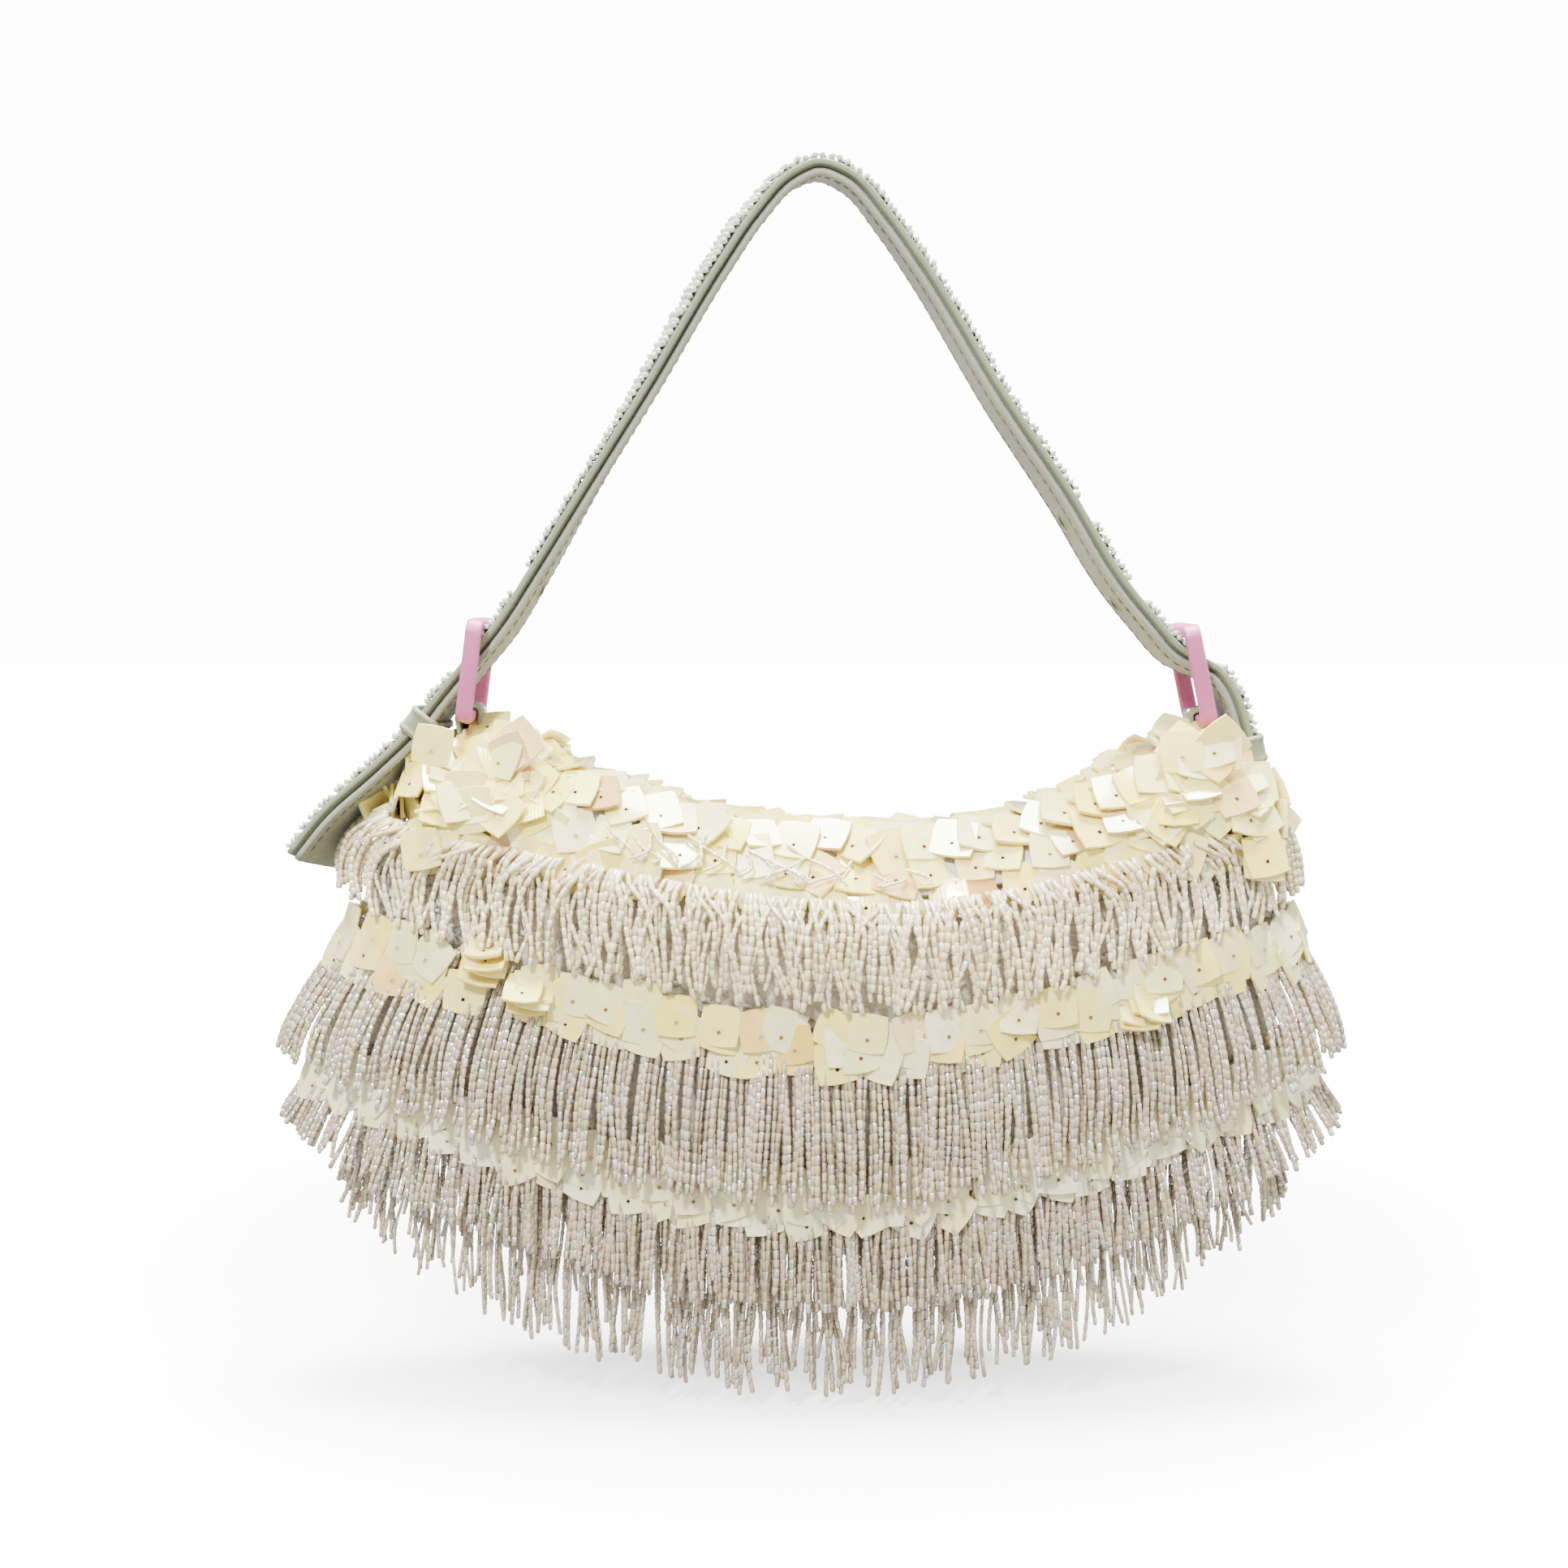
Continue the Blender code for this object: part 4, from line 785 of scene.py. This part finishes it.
def end_plates():
    """A mound of loose plates on each shoulder, a few over the buckle's foot, and some that stand on edge
    round the end. The mound's plates slide from its crest down to the front or the back."""
    rng = np.random.default_rng(8)
    centres, outs = [], []
    for crest, stand in ((LEFT_CREST, LEFT_STAND), (RIGHT_CREST, RIGHT_STAND)):
        for turn, pile in ((-1, 60), (1, 26)):
            x = rng.uniform(crest[0, 0], crest[-1, 0], pile)
            fall = rng.random(pile) ** 0.8
            z = np.interp(x, crest[:, 0], crest[:, 1]) - 0.0045 - fall * MOUND_FALL
            bulge = 0.028 * np.sin(fall * math.pi / 2) * (1 - 0.35 * np.abs(x) / 0.13)
            y = turn * (0.004 + bulge + rng.uniform(0, 0.003, pile))
            centres.append(stacked(x, y, z) + rng.normal(0, 0.0006, (pile, 3)))
            lie = stacked(0.15 * np.sign(x), turn * (0.45 + 0.6 * fall), 0.85 - 0.7 * fall)
            outs.append(lie + rng.normal(0, 0.11, (pile, 3)))
        foot = np.array([crest[np.argmax(crest[:, 1]), 0], -0.0225, -0.1645])
        centres.append(foot + rng.uniform(-1, 1, (7, 3)) * np.array([0.013, 0.0012, 0.004]))
        outs.append(np.array([0, -1.0, 0.25]) + rng.normal(0, 0.10, (7, 3)))
        centres.append(rng.uniform(stand[0], stand[1], (16, 3)))
        aside = np.array([np.sign(crest[0, 0]), -0.3, 0])
        outs.append(rng.normal(0, 1, (16, 3)) * np.array([1.0, 0.8, 0.35]) + aside)
    centres, outs = np.concatenate(centres), unit(np.concatenate(outs))
    total = len(centres)
    across = np.cross(outs, np.array([0, 0, 1.0]) + rng.normal(0, 0.3, (total, 3)))
    make_plates(
        "plates_ends", "shell_plates_top", centres, across, outs,
        size=rng.uniform(0.0112, 0.0134, total), spin=rng.uniform(-0.6, 0.6, total),
        tip=rng.normal(0, 0.10, total), lean=rng.normal(0, 0.10, total), cup=rng.uniform(-14, 20, total),
        plate=rng.uniform(0.03, 1, total), pale=rng.uniform(0, 0.4, total))


def curled_plates():
    """Small nests of strongly bowed plates in the middle band, where the row parts."""
    rng = np.random.default_rng(19)
    centres = np.repeat(NESTS, 5, axis=0)
    total = len(centres)
    centres = centres + rng.normal(0, 0.0016, centres.shape)
    outs = unit(np.array([0.1, -0.85, 0.45]) + rng.normal(0, 0.10, centres.shape))
    make_plates(
        "plates_curled", "shell_plates_middle", centres, np.cross(outs, [0, 0, 1.0]), outs,
        size=rng.uniform(0.0105, 0.0125, total), spin=rng.uniform(-0.3, 0.3, total),
        tip=rng.normal(0.30, 0.15, total), lean=rng.normal(0, 0.12, total), cup=rng.uniform(-45, -25, total),
        plate=rng.uniform(0.10, 0.8, total), pale=rng.uniform(0, 0.3, total))


def band_plates(name, fringe, seed, node_name, rows, pale, spin=0.22, bare=(0.0, 0.0)):
    """A band of stacked plates round a fringe's head: the lower plates of each stack show below the upper.
    rows holds each layer's way down and its number, and the front is bare between two places across."""
    rng = np.random.default_rng(seed)
    row = FRINGES[fringe]
    angles = even_angles(row["front"], 0.004, PLATE_PITCH)
    ways, layers = np.array(rows).T
    angle = angles[None] + rng.normal(0, 0.008, (len(rows), len(angles)))
    way = ways[:, None] + rng.normal(0, 0.015, angle.shape)
    depth = FRINGE_THICKNESS + 0.0008 + layers[:, None] * 0.0012 + rng.uniform(0, 0.0006, angle.shape)
    way = way * FRINGE_LENGTH / row_length(row, angle)
    place = fringe_point(row, angle, way, depth)
    down = unit(fringe_point(row, angle, way + 0.05, depth) - place)
    across = unit(place - fringe_point(row, angle + 0.01, way, depth))
    place, down, across = (a.reshape(-1, 3) for a in (place, down, across))
    sewn = (place[:, 0] < bare[0]) | (place[:, 0] > bare[1]) | (place[:, 1] > 0)
    place, down, across = place[sewn], down[sewn], across[sewn]
    out = np.cross(across, down)
    total = len(place)
    make_plates(
        name, node_name, place, np.cross(down, out), out,
        size=rng.uniform(0.0110, 0.0126, total), spin=rng.normal(0, spin, total),
        tip=rng.normal(-0.14, 0.08, total), lean=rng.normal(0, 0.12, total), cup=rng.uniform(4, 26, total),
        plate=rng.uniform(0.06, 1, total), pale=rng.uniform(pale[0], pale[1], total))


# Strap

def make_strap():
    """Both layers: a flat pillow section that meets the other at the seam but for its rounded edges, with a
    stitched channel near each edge, carried along the seam's line."""
    path, _, out, across = strap_frame(np.linspace(0, ALONG[-1], 190))
    section = pillow(STRAP_WIDTH, STRAP_LAYER, 36)
    inside = np.clip(1 - (np.abs(section[:, 0]) / (STRAP_WIDTH / 2 - 0.0012)) ** 24, 0, 1)
    for name, side, finish in (("outer", 1, SATIN), ("lining", -1, LINING)):
        profile = section.copy()
        channel = np.exp(-((np.abs(profile[:, 0]) - STRAP_WIDTH * CHANNEL_SHARE) / 0.0008) ** 2) * 0.0003
        seam = side * profile[:, 1] < 0
        profile[:, 1] -= np.where(seam, side * inside * (STRAP_GROOVE / 2 + 0.00005), side * channel)
        profile[:, 1] += side * (STRAP_GROOVE + STRAP_LAYER) / 2
        piece = sweep(f"strap_{name}_satin", path, across, out, profile, finish)
        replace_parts(piece, f"strap_{name}")


def make_stitches():
    """Dashes of thread in the lining's channels, as short tubes that dip into the cloth at both ends."""
    start_at = np.arange(0.004, ALONG[-1] - 0.006, 0.0034)
    t = np.linspace(0, 1, 5)
    path, _, out, across = strap_frame(start_at[:, None] + t[None] * 0.0024)
    lift = -(STRAP_FACE - 0.00035 + 0.0003 * np.sin(math.pi * t))[None, :, None]
    aside = across * STRAP_WIDTH * CHANNEL_SHARE
    paths = np.concatenate([path + edge * aside + out * lift for edge in (-1, 1)])
    tubes("strap_stitches", paths, np.full(paths.shape[:2], 0.00022), np.array([0.02, 1.0, 0.01]), 4, THREAD,
          np.ones(paths.shape))


def spare_holes():
    """Distances along the strap at which its spare holes lie."""
    return np.array([crossing - row["side"] * count * HOLE_PITCH
                     for row, crossing in zip(BUCKLES, CROSSINGS) for count in row["holes"]])


def make_holes():
    """Both ends of each spare hole: a dark plug painted as the shade in the hole, with a raised rim, an oval
    that is long along the strap.
    """
    a = turns(32)[:, None]
    round_rim = np.concatenate([np.cos(a[::4]), np.sin(a[::4])], axis=-1) * 0.00045
    share = np.array([0.0, 0.85, 0.95, 0.0])[:, None]
    for number, along in enumerate(spare_holes()):
        point, way, out, across = strap_frame(along)
        oval = way * np.cos(a) * HOLE_LENGTH / 2 + across * np.sin(a) * HOLE_WIDTH / 2
        radial = unit(way * np.cos(a) / HOLE_LENGTH + across * np.sin(a) / HOLE_WIDTH)
        for side, face in ((1, "outer"), (-1, "lining")):
            middle = point + out * side * STRAP_FACE
            upright = np.broadcast_to(out * side, oval.shape)
            sweep(f"hole_rim_{face}_{number}", middle + oval, radial, upright, round_rim, SATIN, closed=True)
            high = np.array([0.0011, 0.0005, -0.0003, -0.0003])[:, None] * side
            # a dark plug where the hole would be: painted shade, the strap itself is not cut
            shade_plug = skin(f"hole_shade_plug_{face}_{number}", middle + oval[:, None] * share + out * high,
                        [grid_faces(32, 4, True, False)], PIT)
            outward(shade_plug.data)


def make_strap_beads():
    """Rows of seed beads across the strap's outer face, each a low string of beads from edge to edge."""
    rng = np.random.default_rng(21)
    along = np.arange(0.002, ALONG[-1] - 0.002, 0.0020)
    breaks = [(CROSSINGS[0] - KEEPER_DISTANCE, KEEPER_LENGTH / 2 + 0.0010)]
    breaks += [(ALONG[-1] - KEEPER_END, KEEPER_LENGTH / 2 + 0.0010)]
    breaks += [(crossing, 0.0045) for crossing in CROSSINGS] + [(hole, 0.0042) for hole in spare_holes()]
    along = along[np.all([np.abs(along - middle) > room for middle, room in breaks], axis=0)]
    beads = 12
    at, shape, belly = strand_rings(beads)
    across_at = (at - 0.5) * (STRAP_WIDTH - 0.0010)
    path, way, out, across = strap_frame(along)
    waves = 0.0004 * np.sin(rng.uniform(0, 6.28, len(along))[:, None] + at[None] * 9)
    height = STRAP_FACE + 0.0006 + rng.uniform(-0.0002, 0.0005, (len(along), 1, 1))
    paths = path[:, None] + across[:, None] * across_at[None, :, None] + out[:, None] * height
    paths = paths + way[:, None] * waves[..., None]
    radii = 0.00104 * shape[None] * rng.uniform(0.85, 1.1, (len(along), 1))
    tint = bead_tint(rng, len(along), beads, belly)
    tubes("strap_seed_beads", paths, radii, way[:, None], 4, SEEDS, tint)


def make_keeper(name, along):
    """A fabric loop round both layers: the loop's outline is the path, and the band with its two stitched
    ribs is the profile carried round it."""
    point, way, out, across = strap_frame(np.array(along))
    low, high = -(STRAP_FACE + GAP), STRAP_FACE + KEEPER_BEAD_ROOM
    loop = pillow(STRAP_WIDTH + 2 * GAP, high - low, 64)
    normal = unit(stacked(signed(loop[:, 0] / STRAP_WIDTH * 2, 9), signed(loop[:, 1] / (high - low) * 2, 3)))
    path = point + across * loop[:, :1] + out * (loop[:, 1:] + (high + low) / 2)
    outward_way = across * normal[:, :1] + out * normal[:, 1:]
    a = np.linspace(0, math.pi, 25)
    band = -np.cos(a) * KEEPER_LENGTH / 2
    rib = np.exp(-((np.abs(band) - KEEPER_LENGTH * CHANNEL_SHARE) / 0.0007) ** 2) * KEEPER_RIB
    top = stacked(band, KEEPER_WALL * np.sin(a) ** 0.25 + rib)
    profile = np.concatenate([top, [[KEEPER_LENGTH * 0.45, 0], [-KEEPER_LENGTH * 0.45, 0]]])
    piece = sweep(f"{name}_satin", path, np.broadcast_to(way, path.shape), outward_way, profile, SATIN,
                  closed=True)
    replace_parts(piece, name)


def make_tab(row):
    """A cloth loop over the lower bar, a flat band whose legs straddle the end of the rim."""
    side = row["side"]
    angle = 0.0 if side > 0 else math.pi
    rim = ring(angle, 0.0)
    inner_x = rim[0] - side * (POUCH_WALL + TAB_ROOM + TAB_THICKNESS / 2)
    inner = np.array([[inner_x, 0, rim[2] - TAB_REACH], [inner_x, 0, rim[2] + GAP]])
    over = round_bar(row, np.linspace(190, -10, 11), GAP + TAB_THICKNESS / 2)
    levels = np.array([0.0, 0.015, 0.03, 0.045])
    here, below = ring(angle, levels), ring(angle, levels + 0.004)
    down = unit(below - here)
    normal = stacked(-down[:, 2], 0, down[:, 0]) * side
    knots = np.concatenate([inner, over, here + normal * (TAB_ROOM + TAB_THICKNESS) / 2])
    steps = np.append(0, np.cumsum(np.linalg.norm(np.diff(knots, axis=0), axis=1)))
    path = np.stack([np.interp(np.linspace(0, steps[-1], 60), steps, knots[:, i]) for i in range(3)], -1)
    path[1:-1] = (path[:-2] + 2 * path[1:-1] + path[2:]) / 4
    way = unit(np.gradient(path, axis=0))
    piece = sweep(f"tab_{row['name']}_satin", path, np.broadcast_to(DEPTH, way.shape), np.cross(DEPTH, way),
                  pillow(TAB_WIDTH, TAB_THICKNESS, 24), SATIN)
    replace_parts(piece, f"tab_{row['name']}")


# Buckles

def make_buckle(row):
    """The frame: a rounded bar section carried round a rectangle with tight corners."""
    centre, _, up, out = buckle_bar(row)
    corner = 0.0022
    half = np.array([BUCKLE_WIDTH - BUCKLE_BAR, BUCKLE_HEIGHT - BUCKLE_BAR]) / 2 - corner
    spots, ways = [], []
    for k, sides in enumerate(((1, 1), (-1, 1), (-1, -1), (1, -1))):
        a = np.linspace(0, math.pi / 2, 7) + k * math.pi / 2
        ways.append(stacked(np.cos(a), np.sin(a)))
        spots.append(half * np.array(sides) + corner * ways[-1])
    spots, ways = np.concatenate(spots), np.concatenate(ways)
    path = centre + DEPTH * spots[:, :1] + up * spots[:, 1:]
    rim = DEPTH * ways[:, :1] + up * ways[:, 1:]
    piece = sweep(f"buckle_{row['name']}_enamel", path, rim, np.broadcast_to(out, rim.shape),
                  pillow(BUCKLE_BAR, BUCKLE_DEPTH, 20), ENAMEL, closed=True)
    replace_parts(piece, f"buckle_{row['name']}")


def round_bar(row, degrees, room):
    """Places round the lower bar on a rounded rectangle, room away from its faces."""
    _, bar, up, out = buckle_bar(row)
    turn = np.radians(degrees)[..., None]
    over = signed(np.cos(turn), BAR_ROUNDING) * (BUCKLE_DEPTH / 2 + room)
    high = signed(np.sin(turn), BAR_ROUNDING) * (BUCKLE_BAR / 2 + room)
    return bar + out * over + up * high


def make_prong(row):
    """The pin: from its tip down to the lower bar and once round it."""
    _, _, up, _ = buckle_bar(row)
    foot = round_bar(row, np.array(0.0), GAP + PRONG_RADIUS)
    rise = np.linspace(1, 0, 14)[:-1, None]
    straight = foot + up * (BUCKLE_HEIGHT - BUCKLE_BAR) * rise
    curl = round_bar(row, np.linspace(0, -285, 30), GAP + PRONG_RADIUS)
    path = np.concatenate([straight, curl])[None]
    radii = np.full((1, path.shape[1]), PRONG_RADIUS)
    radii[0, 0] *= 0.6
    piece = tubes(f"prong_{row['name']}_silver", path, radii, DEPTH, 10, SILVER, np.ones(path.shape))
    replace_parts(piece, f"prong_{row['name']}")


# Stage

def aimed(thing, place, aim):
    """Puts a lamp or a camera at a place and turns it to another."""
    thing.location = place
    thing.rotation_euler = (Vector(aim) - Vector(place)).to_track_quat("-Z", "Y").to_euler()


def make_stage():
    """A pale floor just under the hem that gives off painted light, white towards its far edge and dimmer in
    an oval round the bag as a painted shadow; a white studio, and soft lights.
    """
    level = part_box("fringe_hem")[0].z - 0.006
    edge = 6.0
    mesh = bpy.data.meshes.new("floor")
    corners = [(x * edge, y * edge, level) for x, y in ((-1, -1), (1, -1), (1, 1), (-1, 1))]
    mesh.from_pydata(corners, [], [(0, 1, 2, 3)])
    floor = placed("floor", mesh)
    material, tree, shader = start("pale_floor", 0.9, Specular_IOR_Level=0.0)
    shader.inputs["Base Color"].default_value = (0.92, 0.92, 0.92, 1)
    # the floor's emission: painted light, weakest in an oval round the bag as a painted shadow
    oval = node(tree, "Mapping", {"Vector": place_of(tree)},
                {"Location": (0.0, -0.55, 0.0), "Scale": (4.0, 3.7, 0.0)})
    away = node(tree, "VectorMath", {0: oval.outputs["Vector"]}, operation="LENGTH")
    painted_floor_light = node(tree, "MapRange", {"Value": away.outputs["Value"]},
                {"From Min": 0.35, "From Max": 1.6, "To Min": 0.8, "To Max": STUDIO_WHITE},
                interpolation_type="SMOOTHSTEP")
    shader.inputs["Emission Color"].default_value = (1, 1, 1, 1)
    feed(shader, Emission_Strength=painted_floor_light.outputs["Result"])
    mesh.materials.append(material)
    floor.visible_diffuse = floor.visible_glossy = False
    world = bpy.data.worlds.new("studio")
    bpy.context.scene.world = world
    world.use_nodes = True
    tree = world.node_tree
    seen = node(tree, "LightPath")
    panels = node(tree, "TexNoise", {"Vector": node(tree, "TexCoord").outputs["Generated"]},
                  {"Scale": 2.6, "Detail": 0.5})
    room = node(tree, "MapRange", {"Value": panels.outputs["Fac"]},
                {"From Min": 0.38, "From Max": 0.66, "To Min": 0.30, "To Max": 2.1},
                interpolation_type="SMOOTHSTEP")
    links = {"Value": seen.outputs["Is Camera Ray"], "To Min": room.outputs["Result"]}
    strength = node(tree, "MapRange", links, {"To Max": STUDIO_WHITE})
    background = tree.nodes["Background"]
    background.inputs["Color"].default_value = (1.0, 1.0, 1.0, 1)
    feed(background, Strength=strength.outputs["Result"])
    for name, place, aim, size, power in (
        ("key", (-0.45, -1.0, 0.75), (0, 0, -0.22), 0.18, 42.0),
        ("top", (0.05, 0.10, 1.1), (0, 0, -0.25), 0.7, 145.0),
        ("side", (1.1, -0.5, 0.1), (0, 0, -0.25), 0.3, 5.0),
    ):
        light = bpy.data.lights.new(name, "AREA")
        light.size, light.energy = size, power
        aimed(placed(name, light), place, aim)


def make_camera():
    """The photograph's viewpoint: level with the strap's middle, looking a little down."""
    view = bpy.data.cameras.new("camera")
    view.lens, view.sensor_width = 52.8, 36.0
    camera = placed("camera", view)
    aimed(camera, (-0.00984, -0.6774, -0.1161), (-0.00984, 0, -0.1754))
    bpy.context.scene.camera = camera


make_camera()
make_stage()
make_pouch()
flap = make_flap()
make_bugles()
make_fringe("hem", 11, pitches=(0.00094, 0.0022), radius=0.00074, stray=0.0020, layer=0.0040, gap=0.008,
            pull=0.28, ragged=0.12)
make_fringe("lower", 12, pitches=(0.00077, 0.0022), radius=0.00082, stray=0.0012, layer=0.0038, gap=0.010,
            pull=0.04, ragged=0.05, reach=1.12)
make_fringe("middle", 13, pitches=(0.00077, 0.0022), radius=0.00084, stray=0.0012, layer=0.0038, gap=0.010,
            pull=0.05, ragged=0.06, reach=1.14)
flap_fringe = make_fringe(
    "flap", 14, pitches=(0.00088, 0.0021), radius=0.00086, stray=0.0026, layer=0.0036, gap=0.007, pull=0.20,
    arch=0.0032, bow=0.0030, ragged=0.09, reach=1.09, finish=CREAM_BEADS)
make_strays()
band_plates("plates_low", "lower", 5, "shell_plates_low", rows=[(0.30, 0), (0.22, 1), (0.11, 2)],
            pale=(0.5, 1.0), spin=0.4)
band_plates("plates_middle", "middle", 6, "shell_plates_middle", rows=[(0.205, 0), (0.12, 1), (0.04, 2)],
            pale=(0.0, 0.6), bare=(-0.100, -0.084))
curled_plates()
top_plates()
end_plates()
make_strap()
make_stitches()
make_holes()
make_strap_beads()
make_keeper("keeper_left", CROSSINGS[0] - KEEPER_DISTANCE)
make_keeper("keeper_right", ALONG[-1] - KEEPER_END)
for row in BUCKLES:
    make_buckle(row)
    make_prong(row)
    make_tab(row)
